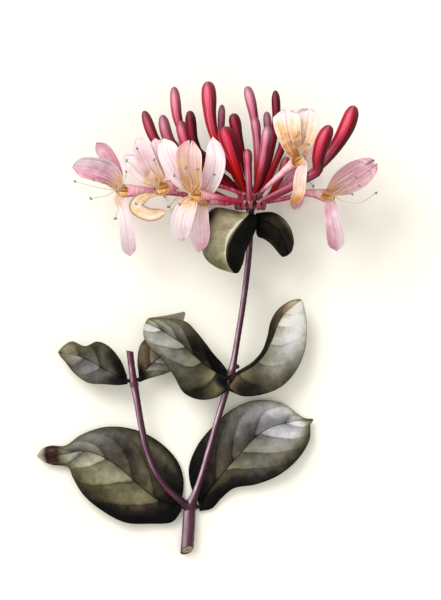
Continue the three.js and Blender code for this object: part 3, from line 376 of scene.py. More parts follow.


# The leaves. Four pairs, each blade thin, waved along its margin and channelled along its midrib, with side
# veins that arch forward: sunk in the dark upper face and raised on the pale underside. A short stalk, the
# foot of the midrib, joins each to the stem. The last pair stands under the flower head and clasps the stem.
# "veins" is the side veins in each half, "ribs" how strongly the painted light and shade of their panels and
# lines is marked, "wave" how high the margin waves and "withered" where a dry tip begins. The halves give how
# light each half
# is painted: one half painted lit and the other in painted shade, as the channelled halves catch the light or
# not. The reach of the base is how far the near black painted shade at the base goes. The light patches are
# painted light where their strength is above zero and painted shade where it is below. The brown and lilac
# patches are colour. Each patch is (place across, place along, half width, half length, strength).
LEAVES = {
    "leaf_lower_left": {
        "stalk": (-1.0, -0.4, 2.2), "veins": 5, "light_and_shade_halves": (0.6, 0.42), "base_shade_reach": 0.34, "withered": 0.8,
        "light": [(-0.35, 0.6, 0.4, 0.16, 0.12), (0.6, 0.74, 0.5, 0.1, 0.24), (-1.0, 0.42, 0.4, 0.24, -0.4),
                  (0.82, 0.28, 0.14, 0.14, 0.55), (0.4, 0.46, 0.35, 0.06, -0.12),
                  (0.5, 0.61, 0.45, 0.07, 0.16), (-0.4, 0.14, 0.5, 0.1, -0.24)],
        "brown": [(0.3, 0.48, 0.25, 0.1, 0.4), (-0.5, 0.3, 0.4, 0.06, 0.3), (0.66, 0.34, 0.12, 0.06, 0.6)],
        "lilac": [(0.5, 0.6, 0.6, 0.2, 0.7), (-0.2, 0.72, 0.5, 0.08, 0.4), (0.6, 0.2, 0.3, 0.1, 0.4)],
        "rungs": [
            ((-3.1, -2.0, 1.8), (-3.3, -0.7, 1.7), (-3.1, 0.8, 1.5)),
            ((-6.2, -5.8, 2.3), (-6.6, 0.4, 1.3), (-2.3, 8.1, 1.2)),
            ((-14.2, -6.5, 3.2), (-11.2, 1.8, 1.0), (-4.2, 15.1, 1.6)),
            ((-22.6, -6.0, 4.2), (-17.2, 6.3, 0.8), (-10.5, 22.1, 2.4)),
            ((-30.8, -1.9, 4.8), (-24.2, 12.6, 0.6), (-18.9, 26.6, 3.2)),
            ((-37.4, 3.6, 4.6), (-30.8, 17, 0.5), (-29.4, 27.8, 3.4)),
            ((-41.4, 9.9, 3.6), (-37.8, 19.1, 0.6), (-38.5, 24.9, 3.0)),
            ((-43.0, 13.4, 2.6), (-43.6, 18.0, 1.2), (-44.1, 21.1, 2.4)),
            ((-48.5, 14.3, 3.0), (-49, 17.8, 2.6), (-49.3, 21.0, 1.8)),
            ((-52.3, 15.5, 3.2), (-54, 17.5, 3.5), (-52.7, 19.9, 3.0)),
        ],
    },
    "leaf_lower_right": {
        "stalk": (1.0, -0.5, 1.9), "veins": 5, "light_and_shade_halves": (0.46, 0.56), "base_shade_reach": 0.34,
        "light": [(0.35, 0.7, 0.4, 0.16, 0.32), (-0.6, 0.69, 0.5, 0.16, 0.44), (1.0, 0.5, 0.25, 0.3, -0.26),
                  (-0.15, 0.45, 0.25, 0.14, -0.12), (0.6, 0.36, 0.3, 0.12, -0.14)],
        "brown": [(0.62, 0.56, 0.2, 0.08, 0.4), (-0.6, 0.3, 0.4, 0.14, 0.6)],
        "lilac": [(0.3, 0.66, 0.45, 0.16, 1.0), (-0.5, 0.6, 0.6, 0.26, 1.0), (0.7, 0.42, 0.3, 0.1, 0.6)],
        "rungs": [
            ((3.2, 0.9, 0.9), (3.4, -0.8, 1.1), (3.2, -2.2, 1.1)),
            ((0.5, 5.8, 0.5), (4.8, 2.8, 0.8), (7.7, -1.2, 1.1)),
            ((-0.5, 13, 0.7), (8.4, 7.4, 0.7), (10.8, 2.2, 1.7)),
            ((2.5, 21, 1.5), (13, 13, 0.6), (15.4, 6, 2.7)),
            ((7.4, 27.3, 2.6), (17.5, 17.9, 0.5), (23.1, 7.4, 3.7)),
            ((14, 33.4, 3.4), (22.8, 23.8, 0.5), (31.5, 10.9, 4.3)),
            ((22.8, 37.1, 3.6), (29, 27.7, 0.8), (38.5, 17, 4.3)),
            ((32.4, 36.1, 3.2), (35, 29.2, 1.3), (42.1, 23.3, 3.6)),
            ((38.3, 32, 2.6), (38.9, 29.9, 1.8), (42.4, 27.3, 3.0)),
            ((40.6, 30.8, 2.5), (41, 29.8, 2.3), (42.5, 28.6, 2.8)),
            ((43.4, 30.6, 2.8), (43.6, 30.2, 2.7), (43.4, 29.8, 2.7)),
        ],
    },
    "leaf_side_left": {
        "stalk": (-20.0, 43.9, 10.2), "veins": 3, "light_and_shade_halves": (0.5, 0.48), "base_shade_reach": 0.3,
        "light": [(-0.2, 0.66, 0.5, 0.16, 0.06), (0.5, 0.88, 0.6, 0.1, 0.2), (0.6, 0.5, 0.3, 0.1, -0.12)],
        "brown": [(0.2, 0.9, 0.6, 0.1, 0.5)], "lilac": [(-0.3, 0.5, 0.7, 0.3, 1.0)],
        "rungs": [
            ((-21.8, 43.0, 9.9), (-21.9, 44.2, 10.0), (-22.1, 46.0, 10.2)),
            ((-24.5, 42.6, 10.2), (-25.4, 45.6, 9.0), (-24.2, 51.2, 10.4)),
            ((-30.1, 42.9, 10.2), (-30.5, 48.3, 8.0), (-28.4, 56.2, 10.2)),
            ((-35.7, 43.4, 9.2), (-35, 51.1, 7.0), (-32.6, 57.9, 8.8)),
            ((-40.6, 46.6, 7.4), (-39.2, 52.7, 6.0), (-36.8, 56.3, 8.6)),
            ((-44.1, 50.8, 6.0), (-43.1, 53.4, 5.2), (-41.7, 57.9, 6.6)),
            ((-46.1, 53.0, 5.0), (-46.5, 54.1, 5.0), (-45.7, 55.5, 5.2)),
        ],
        "wave": 0.2,
    },
    "leaf_side_right": {
        "stalk": (-19.6, 44.2, 10.1), "veins": 3, "light_and_shade_halves": (0.54, 0.55), "base_shade_reach": 0.2,
        "light": [(0.6, 0.6, 0.4, 0.3, 0.08)],
        "brown": [(-0.5, 0.45, 0.6, 0.4, 0.6)], "lilac": [(0.4, 0.6, 0.7, 0.4, 0.8)],
        "rungs": [
            ((-18.0, 46.0, 9.4), (-17.9, 44.6, 9.4), (-18.0, 43.5, 9.4)),
            ((-18.5, 51.5, 8.6), (-15.6, 47.8, 7.8), (-14, 45, 8.4)),
            ((-17.2, 57.2, 7.0), (-12.2, 51.2, 6.2), (-7.7, 46.9, 6.8)),
            ((-12.6, 60.5, 5.2), (-7.4, 53.9, 4.4), (-3.5, 49.4, 5.0)),
            ((-6.3, 59.5, 4.0), (-3.5, 56, 3.4), (-0.7, 52.9, 3.8)),
            ((-1.6, 58.9, 3.2), (-0.9, 58.1, 3.2), (-0.4, 57.2, 3.2)),
        ],
        "wave": 0.2,
    },
    # this leaf's long tip is folded back under it and shows again past its upper margin
    "leaf_middle_left": {
        "stalk": (13.8, 45.4, 8.6), "veins": 5, "light_and_shade_halves": (0.72, 0.54), "base_shade_reach": 0.1,
        "light": [(-0.3, 0.62, 0.6, 0.14, 0.14), (-1.0, 0.28, 0.7, 0.2, -0.3), (0.6, 0.16, 0.6, 0.16, -0.6),
                  (0.5, 0.34, 0.5, 0.08, -0.22), (0.5, 0.56, 0.4, 0.1, 0.16), (-0.7, 0.2, 0.6, 0.09, -0.2)],
        "brown": [(0.6, 0.38, 0.4, 0.05, 0.6)],
        "lilac": [(-0.4, 0.5, 0.5, 0.2, 0.8), (-0.2, 0.66, 0.5, 0.06, 0.5), (0.4, 0.45, 0.3, 0.12, 0.6)],
        "rungs": [
            ((13.2, 40.6, 10.4), (13.1, 44.8, 10.4), (13.0, 48.0, 10.4)),
            ((9.1, 38.2, 10.8), (9.6, 46.8, 9.8), (11.2, 50.4, 10.8)),
            ((3.5, 37.5, 11.2), (5.9, 49.4, 9.6), (8.8, 53.0, 11.4)),
            ((-2.1, 39.9, 11.7), (1.8, 52.7, 9.9), (6.1, 56.6, 12.2)),
            ((-5.6, 45.9, 12.2), (-2.3, 56.7, 10.3), (2.4, 61.2, 12.8)),
            ((-9.5, 51.5, 12.3), (-6.9, 60.0, 10.9), (-1.4, 64.9, 12.8)),
            ((-14, 55.7, 11.9), (-11.3, 62.6, 11.4), (-7.7, 66, 12.4)),
            ((-16.3, 59.9, 11.2), (-14.7, 64.2, 11.3), (-13, 66.1, 11.6)),
            ((-15.8, 62.4, 8.8), (-15.3, 64.7, 8.9), (-14.2, 66.2, 9.0)),
            ((-9.8, 61.4, 6.9), (-9.3, 64.6, 7.1), (-8.6, 67.0, 7.3)),
            ((-4.5, 61.6, 6.8), (-4.6, 65.2, 7.0), (-4.4, 67.9, 7.2)),
            ((-2.2, 64.9, 7.0), (-1.8, 67.0, 7.1), (-1.3, 68.6, 7.2)),
        ],
        "wave": 0.15,
    },
    # this leaf stands folded along its midrib and bends up along the stem
    "leaf_middle_right": {
        "stalk": (14.2, 45.6, 8.7), "veins": 5, "light_and_shade_halves": (0.4, 0.74), "base_shade_reach": 0.04, "ribs": 0.22,
        "light": [(0.5, 0.74, 0.8, 0.3, 0.32), (-0.5, 0.3, 0.6, 0.24, -0.4), (-0.5, 0.85, 0.5, 0.14, 0.45),
                  (0.7, 0.14, 0.6, 0.14, -0.52), (0.9, 0.4, 0.25, 0.12, -0.24)],
        "brown": [(-0.5, 0.78, 0.6, 0.16, 0.9), (0.3, 0.04, 0.5, 0.06, 0.6), (0.8, 0.3, 0.2, 0.08, 0.3)],
        "lilac": [(0.55, 0.58, 0.5, 0.24, 0.9), (0.4, 0.3, 0.4, 0.1, 0.3)],
        "rungs": [
            ((14.4, 46.0, 10.6), (14.0, 44.6, 10.5), (13.9, 40.5, 10.4)),
            ((17.4, 47.9, 8.6), (17.9, 46.9, 11.2), (18.6, 38.7, 10.6)),
            ((21.9, 50.8, 8.0), (22.4, 49.7, 11.2), (25.9, 39.4, 9.8)),
            ((25.2, 54.6, 8.0), (25.9, 53.2, 11.2), (32.6, 42.4, 8.8)),
            ((27.0, 59.4, 9.0), (28.4, 57.9, 11.0), (37.5, 48, 7.9)),
            ((28.2, 64.8, 10.6), (30.3, 63, 9.8), (40.3, 54.6, 7.4)),
            ((30.3, 68.6, 11.4), (32.4, 67.0, 8.8), (41, 60.9, 7.6)),
            ((33.3, 71.2, 10.8), (35, 69.6, 8.4), (40.8, 66.9, 8.0)),
            ((36.1, 72.5, 9.4), (37.5, 71.4, 8.4), (39.9, 70.7, 8.2)),
            ((38.4, 72.9, 8.5), (39.1, 72.6, 8.3), (39.7, 72.1, 8.3)),
        ],
        "wave": 0.2,
    },
    "leaf_head_left": {
        "stalk": (21, 102.6, 21.2), "veins": 3, "light_and_shade_halves": (0.02, 0.77), "base_shade_reach": 0.04, "ribs": 0.1,
        "light": [(0.9, 0.42, 0.12, 0.1, -0.9), (0.5, 0.8, 0.5, 0.12, -0.2), (-0.02, 0.4, 0.07, 0.3, 0.7),
                  (0.6, 0.14, 0.3, 0.08, -0.25)],
        "brown": [(0.3, 0.3, 0.5, 0.2, 0.3)], "lilac": [],
        "rungs": [
            ((22.6, 102.2, 23.4), (21.1, 102.4, 23.5), (19.5, 102.6, 23.2)),
            ((23.2, 100.9, 23.4), (19.4, 100.9, 25.0), (14.7, 103.8, 22.4)),
            ((23.1, 97.3, 23.2), (16.8, 98.2, 25.8), (8.4, 104.4, 21.4)),
            ((21.4, 93.3, 22.8), (14.3, 95.0, 26.2), (4.6, 99.9, 20.9)),
            ((19.5, 89.3, 22.4), (12.9, 91, 25.8), (3.8, 93.0, 20.4)),
            ((18.6, 85.4, 21.8), (12.9, 86.8, 24.8), (5.4, 87.0, 20.4)),
            ((17.5, 82.8, 21.6), (14.0, 84, 23.4), (9.6, 83.6, 21.0)),
            ((16.7, 81.6, 21.6), (15.6, 81.7, 22.0), (14.2, 82.0, 21.8)),
        ],
        "wave": 0.25,
    },
    "leaf_head_right": {
        "stalk": (21.3, 102.2, 20.7), "veins": 3, "light_and_shade_halves": (0.14, 0.1), "base_shade_reach": 0.3,
        "light": [(-0.3, 0.45, 0.4, 0.2, 0.12), (0.92, 0.45, 0.12, 0.2, 0.2), (-0.9, 0.62, 0.2, 0.22, 0.36)],
        "brown": [(-0.3, 0.4, 0.6, 0.3, 0.4)], "lilac": [],
        "rungs": [
            ((22.9, 102.6, 19.9), (22.9, 101.4, 19.7), (22.9, 100.0, 19.4)),
            ((25.6, 103.0, 20.2), (25.4, 99.9, 21.0), (23.5, 94.7, 18.6)),
            ((28.9, 103.0, 20.3), (28, 98.9, 22.0), (25.9, 93.6, 18.8)),
            ((32.3, 101.1, 20.3), (30.5, 96.8, 22.0), (28.2, 91.9, 18.6)),
            ((35, 97.7, 19.5), (32.2, 93.8, 21.0), (29.9, 90, 17.9)),
            ((36.3, 92.8, 18.5), (33.5, 90.7, 19.6), (31.3, 88.3, 17.5)),
            ((35.6, 89.1, 17.6), (34.2, 88, 18.0), (32.6, 87.2, 17.2)),
        ],
        "wave": 0.25,
    },
}
LEAF_ROW, LEAF_COLUMNS = 0.33, 64  # how far apart the rows of points are, and columns across each leaf
ARCH = 0.32  # how far the side veins reach forward on their way to the margin, as a share of the leaf
BLADE = 0.34  # thickness between the veins
BULGE = 3.2  # four times how far each half bulges up between midrib and margin


def sheet_faces(rows, columns):
    """Faces of a closed thin sheet: an upper and a lower grid of points that share their outer edge."""
    upper = np.arange((rows + 1) * (columns + 1)).reshape(rows + 1, columns + 1)
    lower = upper.copy()
    lower[1:-1, 1:-1] = upper.size + np.arange((rows - 1) * (columns - 1)).reshape(rows - 1, columns - 1)
    quads = [np.stack([grid[:-1, :-1], grid[:-1, 1:], grid[1:, 1:], grid[1:, :-1]], -1).reshape(-1, 4)
             for grid in (upper, lower)]
    return np.vstack([quads[0], quads[1][:, ::-1]]).tolist()


def sheet(surface, upper_lift, lower_lift):
    """The points of such a sheet round a surface (row, column, xyz), lifted off it on each side."""
    normal = unit(np.cross(np.gradient(surface, axis=1), np.gradient(surface, axis=0)))
    upper = surface + normal * upper_lift[..., None]
    lower = surface + normal * lower_lift[..., None]
    return np.vstack([upper.reshape(-1, 3), lower[1:-1, 1:-1].reshape(-1, 3)])


def both_faces(upper, lower):
    """One value for each point of such a sheet."""
    return np.concatenate([upper.reshape(-1), lower[1:-1, 1:-1].reshape(-1)])


def eased(value, low, high):
    """0 below low and 1 above high, with a soft passage between them."""
    share = np.clip((value - low) / (high - low), 0, 1)
    return share * share * (3 - 2 * share)


def washed(patches, across, along):
    """Soft patches of paint, laid over each other."""
    total = np.zeros(np.broadcast(across, along).shape)
    for place_across, place_along, half_width, half_length, strength in patches:
        total += strength * bell(across - place_across, half_width) * bell(along - place_along, half_length)
    return total


def grow_leaf(name, rungs, stalk, veins, light_and_shade_halves, base_shade_reach, light, brown, lilac, ribs=0.44, wave=0.3,
              withered=2.0, seed=0):
    midline = [rung[1] for rung in rungs]
    length = np.linalg.norm(np.diff(through(midline, np.linspace(0, 1, 200)), axis=0), axis=1).sum()
    steps = round(length / LEAF_ROW)
    t = np.linspace(0, 1, steps + 1)[:, None]
    t = t - 0.3 * np.sin(2 * np.pi * t) / (2 * np.pi)
    across = np.linspace(-1, 1, LEAF_COLUMNS + 1)[None]
    across = across * (0.85 + 0.15 * across**2)
    share = np.abs(across)
    # the rows of points rise towards the margin, as the side veins do
    along = t + ARCH * (1 - t**2) * eased(t, 0, 0.2) * share**1.35
    left, rib, right = (through([rung[k] for rung in rungs], along) for k in range(3))
    margin = np.where((across < 0)[..., None], left, right)
    narrow = np.sqrt(np.clip(1 - ((along - 0.965) / 0.036).clip(0) ** 2, 0.02, 1))
    surface = rib + (margin - rib) * (share * narrow)[..., None]
    swell = np.sin(np.pi * along)
    surface[..., 2] += BULGE * share * (1 - share) * swell
    surface[..., 2] += wave * share**2 * swell * np.sin(8 * np.pi * along + 1.3 * across)
    surface[..., 2] += 0.16 * share**3 * swell * np.sin(31 * along + 2.1 * across + seed)
    beside = across * np.linalg.norm(margin - rib, axis=-1)
    midrib = bell(beside, 0.34 * (1.15 - along))
    # the count of side veins passed on the way to the tip, and how near each point is to one
    phase, vein, quilt = np.zeros(along.shape), np.zeros(along.shape), np.ones(along.shape)
    order = np.arange(veins)
    fade = np.clip(1.05 - share, 0, 1) ** 0.6
    for side in (-1, 1):
        uneven = order + 0.25 * (side > 0) + 0.16 * np.sin(5 * order + 2 * seed + side)
        starts = 0.08 + 0.72 * uneven / veins
        passed = np.interp(t[:, 0], [0, *starts, 1], [-0.6, *order, veins - 0.2])[:, None]
        apart = (t - starts[np.clip(np.round(passed).astype(int), 0, veins - 1)]) * length
        here = (across > 0) if side > 0 else (across <= 0)
        phase = np.where(here, passed, phase)
        vein = np.where(here, bell(apart, 0.4) * fade, vein)
        quilt = np.where(here, 1 - bell(apart, 1.7) * fade, quilt)
    edge = np.clip(1 - share**6, 0, 1) * np.clip((1 - along) / 0.02, 0, 1) * np.clip(along / 0.004, 0, 1)
    lift = (0.26 * quilt * (1 - share**2) * swell**0.5 - 0.1 * vein - 0.24 * midrib) * edge
    upper = (BLADE / 2) * edge + lift
    lower = -(BLADE / 2) * edge + lift - (0.32 * midrib * (1.1 - along) + 0.1 * vein) * edge
    # the stalk is the midrib's foot, and ends inside the stem's skin
    start, foot = (through(midline, place) - (0, 0, 0.25) for place in (0.01, 0.1))
    bend = (np.array(stalk) + midline[0]) / 2 - (0, 0, 0.1)
    shares = np.linspace(0, 1, 24)
    thickness = np.interp(shares, (0, 0.4, 1), (0.85, 0.62, 0.22))
    stalk_points, stalk_faces = skin(swept([stalk, bend, start, foot], shares, thickness, 16)[0])
    points, faces = together([(sheet(surface, upper, lower), sheet_faces(steps, LEAF_COLUMNS)),
                              (stalk_points, stalk_faces)])
    points[:, 2] = np.maximum(points[:, 2], 0.02)
    # the paint of the upper face: one half painted lit and the other in painted shade, near black painted
    # shade at the base, darker towards the margin, and the patches of painted light and shade
    tone = light_and_shade_halves[0] + (light_and_shade_halves[1] - light_and_shade_halves[0]) * eased(across, -0.03, 0.03)
    ribbed = ribs * tone * np.clip(1 - share, 0, 1) ** 0.8
    # black is 0 in the painted shade at the base and 1 clear of it
    black = eased(0.6 * t + 0.4 * along + 0.03 * np.sin(5 * share + seed), 0.2 * base_shade_reach, base_shade_reach)
    tone = tone * (0.02 + 0.98 * black) * (1 - 0.2 * share**4)
    tone = tone + washed(light, across, along) * (0.5 + 0.5 * black)

    def with_stalk(upper, lower, at_stalk):
        upper, lower = np.broadcast_to(upper, along.shape), np.broadcast_to(lower, along.shape)
        return np.append(both_faces(upper, lower), np.full(len(stalk_points), float(at_stalk)))

    side, reach, tone, brown, lilac, phase, ribbed, beside, dry = (
        with_stalk(value, value, at_stalk) for value, at_stalk in (
            (across, 0), (along, 0), (tone, 0.15), (washed(brown, across, along), 0.5),
            (washed(lilac, across, along), 0), (phase, 0.5), (ribbed * black, 0), (beside, 9),
            (np.clip((along - withered) / 0.05, 0, 1), 0)))
    face = with_stalk(1.0, -1.0, 1)
    add_piece(name, points, faces, [leaf_green],
              {"lie": np.stack([side, reach, face], 1), "wash": np.stack([tone, brown, lilac], 1),
               "veined": np.stack([phase, ribbed, beside], 1), "dry": dry})


# one finish for all leaves: leathery, from near black through olive grey to a pale bloom, duller underneath
leaf = Finish("leaf_green", 0.6, Specular_IOR_Level=0.07)
# the first number of the wash is the painted light and shade of the upper face, from near black to pale
light, brown, lilac = leaf.marks("wash")
_, reach, face = leaf.marks("lie")
phase, ribbed, beside = leaf.marks("veined")
clouds = leaf.noise(leaf.spot(), 0.3, 3.0, 0.6)
cells = leaf.node("TexVoronoi", 0, {"feature": "DISTANCE_TO_EDGE"}, Vector=leaf.spot(), Scale=1.0)
net = leaf.fit(cells, 0.0, 0.14, 1, 0)
grain = leaf.noise(leaf.spot(), 5.0)
# each panel is painted lightest just past its vein and darker towards the next, the painted light and shade
# of the quilted relief
wander = leaf.varied(phase, leaf.noise(leaf.spot(), 0.16, 1.0), 0.2)
passed = leaf.number("FRACT", wander)
panel_shading = leaf.times(leaf.fit(passed, 0.0, 0.12), leaf.fit(passed, 0.08, 1.0, 1, 0))
# the dark lines along the side veins and the midrib on the upper face are painted shade in the sunk veins,
# while on the underside the raised veins are paler, their own colour
side_vein = leaf.times(leaf.fit(leaf.number("PINGPONG", wander, 0.5), 0.0, 0.045, 1, 0), ribbed)
middle = leaf.fit(leaf.number("ABSOLUTE", beside), 0.08, 0.36, 1, 0)
tone = leaf.plus(light, leaf.times(leaf.number("SUBTRACT", panel_shading, 0.4), ribbed))
for value, weight in ((side_vein, -0.55), (middle, -0.28), (net, -0.025)):
    tone = leaf.plus(tone, value, weight)
tone = leaf.varied(leaf.varied(tone, clouds, 0.36), grain, 0.1)
olive = leaf.ramp(tone, (0.0, "030303"), (0.2, "1c1a13"), (0.42, "45412c"), (0.6, "6d6a4b"), (0.8, "9f9b7d"),
                  (1.0, "d7d3c3"))
rusty = leaf.ramp(tone, (0.0, "0a0605"), (0.25, "2f2017"), (0.5, "634a38"), (0.75, "a08568"), (1.0, "d5c3a6"))
misty = leaf.ramp(tone, (0.0, "050506"), (0.25, "292828"), (0.5, "5f5d5e"), (0.75, "979696"), (1.0, "dad9da"))
upper = leaf.mix(lilac, leaf.mix(brown, olive, rusty), misty)
under = leaf.mix(leaf.fit(clouds, 0.25, 0.8), "87836e", "716d59")
raised = leaf.number("MAXIMUM", middle, leaf.times(side_vein, 3.0))
under = leaf.mix(leaf.times(raised, 0.5), under, "aaa78f")
tone = leaf.mix(leaf.fit(face, -0.2, 0.2, 1, 0), upper, under)
crisp = leaf.ramp(leaf.noise(leaf.spot((0.5, 2, 1)), 0.5), (0.3, "120805"), (0.5, "33201a"), (0.75, "5e4335"))
dry = leaf.mix(leaf.fit(reach, 0.93, 0.985), crisp, "a39b8d")
leaf_green = leaf.done(leaf.mix(leaf.mark("dry"), tone, dry),
                       leaf.number("SUBTRACT", leaf.times(grain, 0.5), net), 0.045)
for seed, (name, blade) in enumerate(LEAVES.items()):
    grow_leaf(name, seed=seed, **blade)


# The buds. Twenty-two closed flowers, each a slim tube that swells into a club of five petal ends furled
# together. The skin is velvety, crimson to near maroon, with a furrow where each two petals meet. It is
# painted paler on the side toward the light, a painted highlight, and darker on the far side and in the
# furrows, painted shade. On some the tube or the tip is paler.
HEAD = (21, 21)  # x and z of the flower head's axis, which runs along y
OUTER_WHORL, MIDDLE_WHORL, INNER_WHORL = (106.4, 5.0), (109.2, 3.75), (111.9, 2.25)  # height and radius
# each bud: its whorl, its place round it, its way, its club's radius, and how deep, pale and pale-tipped
BUDS = {
    "bud_01": (MIDDLE_WHORL, 216, [(10, 114.5, 18.5), (-1, 120.5, 19.5), (-11.2, 127, 20.5),
               (-16.1, 138.3, 20)], 1.9, (0.5, 0, 0.3)),
    "bud_02": (MIDDLE_WHORL, 245, [(12, 115, 14.5), (0, 120.5, 14), (-7.4, 128.5, 14.5),
               (-9.8, 137.2, 14.5)], 2.1, (0, 0.25, 0.7)),
    "bud_03": (INNER_WHORL, 210, [(13.5, 118, 20), (4, 123.5, 20.5), (-3.4, 133, 21),
               (-5.6, 146.7, 20.5)], 1.9, (0, 0.2, 0.6)),
    "bud_04": (MIDDLE_WHORL, 188, [(11, 115, 21.8), (3.5, 119.5, 23.6), (-0.9, 126, 24.8),
               (-3.4, 134.6, 25.2)], 2.25, (0, 0.15, 0.3)),
    "bud_05": (MIDDLE_WHORL, 160, [(13.5, 114, 23.6), (6, 119, 26.4), (1.4, 127.5, 28),
               (0, 137.9, 28.3)], 1.95, (0.9, 0, 0)),
    "bud_06": (INNER_WHORL, 150, [(15.6, 117, 22.6), (10.5, 124.5, 23.2), (7.4, 134, 23.4),
               (6.3, 148.4, 22.8)], 2.65, (0, 0.1, 0.1)),
    "bud_07": (MIDDLE_WHORL, 275, [(16.6, 117, 15.6), (12.6, 124, 15.6), (11, 132, 16),
               (11.2, 140.7, 16)], 1.35, (0, 0.35, 0.6)),
    "bud_08": (INNER_WHORL, 90, [(19.8, 115.5, 24.9), (18.4, 121.5, 26.9), (16.8, 128, 28.4),
               (15, 136.9, 29)], 2.1, (0.7, 0, 0)),
    "bud_09": (MIDDLE_WHORL, 101, [(18.6, 112.5, 27.4), (16.8, 117, 30.6), (14.6, 123, 33),
               (11.8, 132, 34.4)], 2.95, (0, 0, 0)),
    "bud_10": (INNER_WHORL, 330, [(23.2, 117, 19), (23.3, 125, 18.6), (22.4, 135.5, 18.6),
               (19.9, 147, 18.2)], 1.9, (0, 0.45, 0.9)),
    "bud_11": (OUTER_WHORL, 90, [(20.8, 109.5, 28.4), (20.4, 115, 31.4),
               (19.9, 124.4, 34.4)], 1.55, (0, 0.3, 0.2)),
    "bud_12": (MIDDLE_WHORL, 70, [(23.4, 112.5, 27), (24.8, 118, 30), (25.8, 124, 31.6),
               (27, 132.3, 32.2)], 1.85, (0, 0.5, 0.9)),
    "bud_13": (MIDDLE_WHORL, 335, [(26, 114.5, 18.8), (28.3, 124, 18.2), (30, 135, 17.8),
               (29.8, 145.6, 17.4)], 1.55, (0.85, 0, 0.1)),
    "bud_14": (MIDDLE_WHORL, 305, [(24.6, 115.5, 15.4), (26.3, 124, 14), (27.2, 131, 13.4),
               (26.8, 138.4, 13)], 1.5, (0.2, 0.3, 1)),
    "bud_15": (OUTER_WHORL, 54, [(32, 110.3, 25.1), (40.4, 114.4, 28.6), (43.9, 117.2, 34),
               (44.2, 121.6, 38.6), (45.6, 126.8, 40.6), (48.2, 132.2, 41)], 2.65, (0.15, 0, 0)),
    "bud_16": (OUTER_WHORL, 27, [(33, 110, 22.6), (42.6, 116.6, 26), (50, 125, 31.8), (54, 132, 34.2),
               (56.7, 139.3, 34.6)], 2.8, (0, 0, 0)),
    "bud_17": (INNER_WHORL, 30, [(23.6, 116, 23.6), (23.8, 122, 24.2), (23.3, 129, 24.6),
               (22.4, 136, 24.6)], 1.7, (0, 0.6, 0.3)),
    "bud_18": (MIDDLE_WHORL, 5, [(27, 113.5, 22.2), (29.6, 119.5, 23), (32, 125.5, 23.6),
               (34, 131.5, 23.8)], 1.6, (0.3, 0, 0.1)),
    "bud_19": (OUTER_WHORL, 203, [(11, 108.5, 17), (4, 112, 15.4),
               (-3.5, 117.5, 14.4)], 1.7, (0.2, 0, 0.2)),
    "bud_20": (OUTER_WHORL, 258, [(18.4, 110, 12.4), (15.6, 117, 8), (12.6, 127, 3.4)], 1.8, (0, 0, 0.2)),
    "bud_21": (OUTER_WHORL, 285, [(23.6, 110, 12.6), (24.4, 117, 9), (25, 127.5, 6)], 1.8, (0.3, 0, 0)),
    "bud_22": (OUTER_WHORL, 336, [(28.6, 109.8, 17.4), (31.2, 115, 16),
               (34, 122.5, 15)], 1.6, (0, 0.2, 0.2)),
}


def on_whorl(whorl, degrees):
    """The place of a flower's foot on its whorl: 0 degrees to the right, 90 to the top."""
    height, radius = whorl
    turn = np.radians(degrees)
    return (HEAD[0] + radius * np.cos(turn), height, HEAD[1] + radius * np.sin(turn))


def grow_bud(name, whorl, degrees, way, club, shade):
    stops = [(0, 0.55), (0.02, 0.68), (0.2, 0.98), (0.42, 0.7 + 0.26 * club), (0.58, 0.55 * club + 0.4),
             (0.72, 0.85 * club), (0.86, club), (0.94, 0.88 * club), (0.985, 0.5 * club), (1, 0.05)]
    t = np.linspace(0, 1, 88)
    shares = 0.999 * (t + 0.45 * t * (1 - t))
    in_club = np.clip((shares - 0.5) / 0.3, 0, 1)
    furrow = -0.022 * in_club - 0.05 * np.clip((shares - 0.93) / 0.07, 0, 1) - 0.01
    rings, turn = swept([on_whorl(whorl, degrees)] + way, shares, radii_at(stops, shares), 34, furrow)
    points, faces = skin(rings)
    # the side of each bud toward the light, for its painted highlight
    painted_light = unit(rings - rings.mean(1, keepdims=True)) @ PAINTED_LIGHT_FROM
    lie = np.broadcast_arrays(np.cos(turn)[None], np.sin(turn)[None], shares[:, None])
    lie = np.stack(lie, -1).reshape(-1, 3)
    # painted shade along the furrows where two petals meet
    painted_furrow_shade = (0.5 + 0.5 * np.cos(5 * turn + np.pi * shares[:, None])) ** 4
    painted_furrow_shade = painted_furrow_shade * np.minimum(1, 0.3 + in_club)[:, None]
    add_piece(name, points, faces, [bud_velvet], {
        "lie": np.vstack([lie, (0, 0, 0), (0, 0, 1)]), "painted_light": np.append(painted_light, (0, 0.3)),
        "painted_furrow_shade": np.append(painted_furrow_shade, (0, 0)), "shade": np.tile(shade, (len(points), 1)),
        "outer": np.full(len(points), whorl == OUTER_WHORL and way[-1][2] > HEAD[1])})


PAINTED_LIGHT_FROM = unit(np.array((-0.6, 0.25, 0.75)))  # the way to the light, for the painted highlight and painted shade on the buds and tubes
velvet = Finish("bud_velvet", 0.45, Specular_IOR_Level=0.1, Sheen_Weight=0.03, Sheen_Roughness=0.4,
                Sheen_Tint=(1.0, 0.45, 0.5, 1))
lie = velvet.mark("lie", "Vector")
along = velvet.apart(lie)[2]
deep, pale, pale_tip = velvet.marks("shade")
streak = velvet.noise(velvet.stretched(lie, (2.2, 2.2, 1.2)), 1.0)
fine = velvet.noise(velvet.spot((1, 0.25, 1)), 4.0, 2.0)
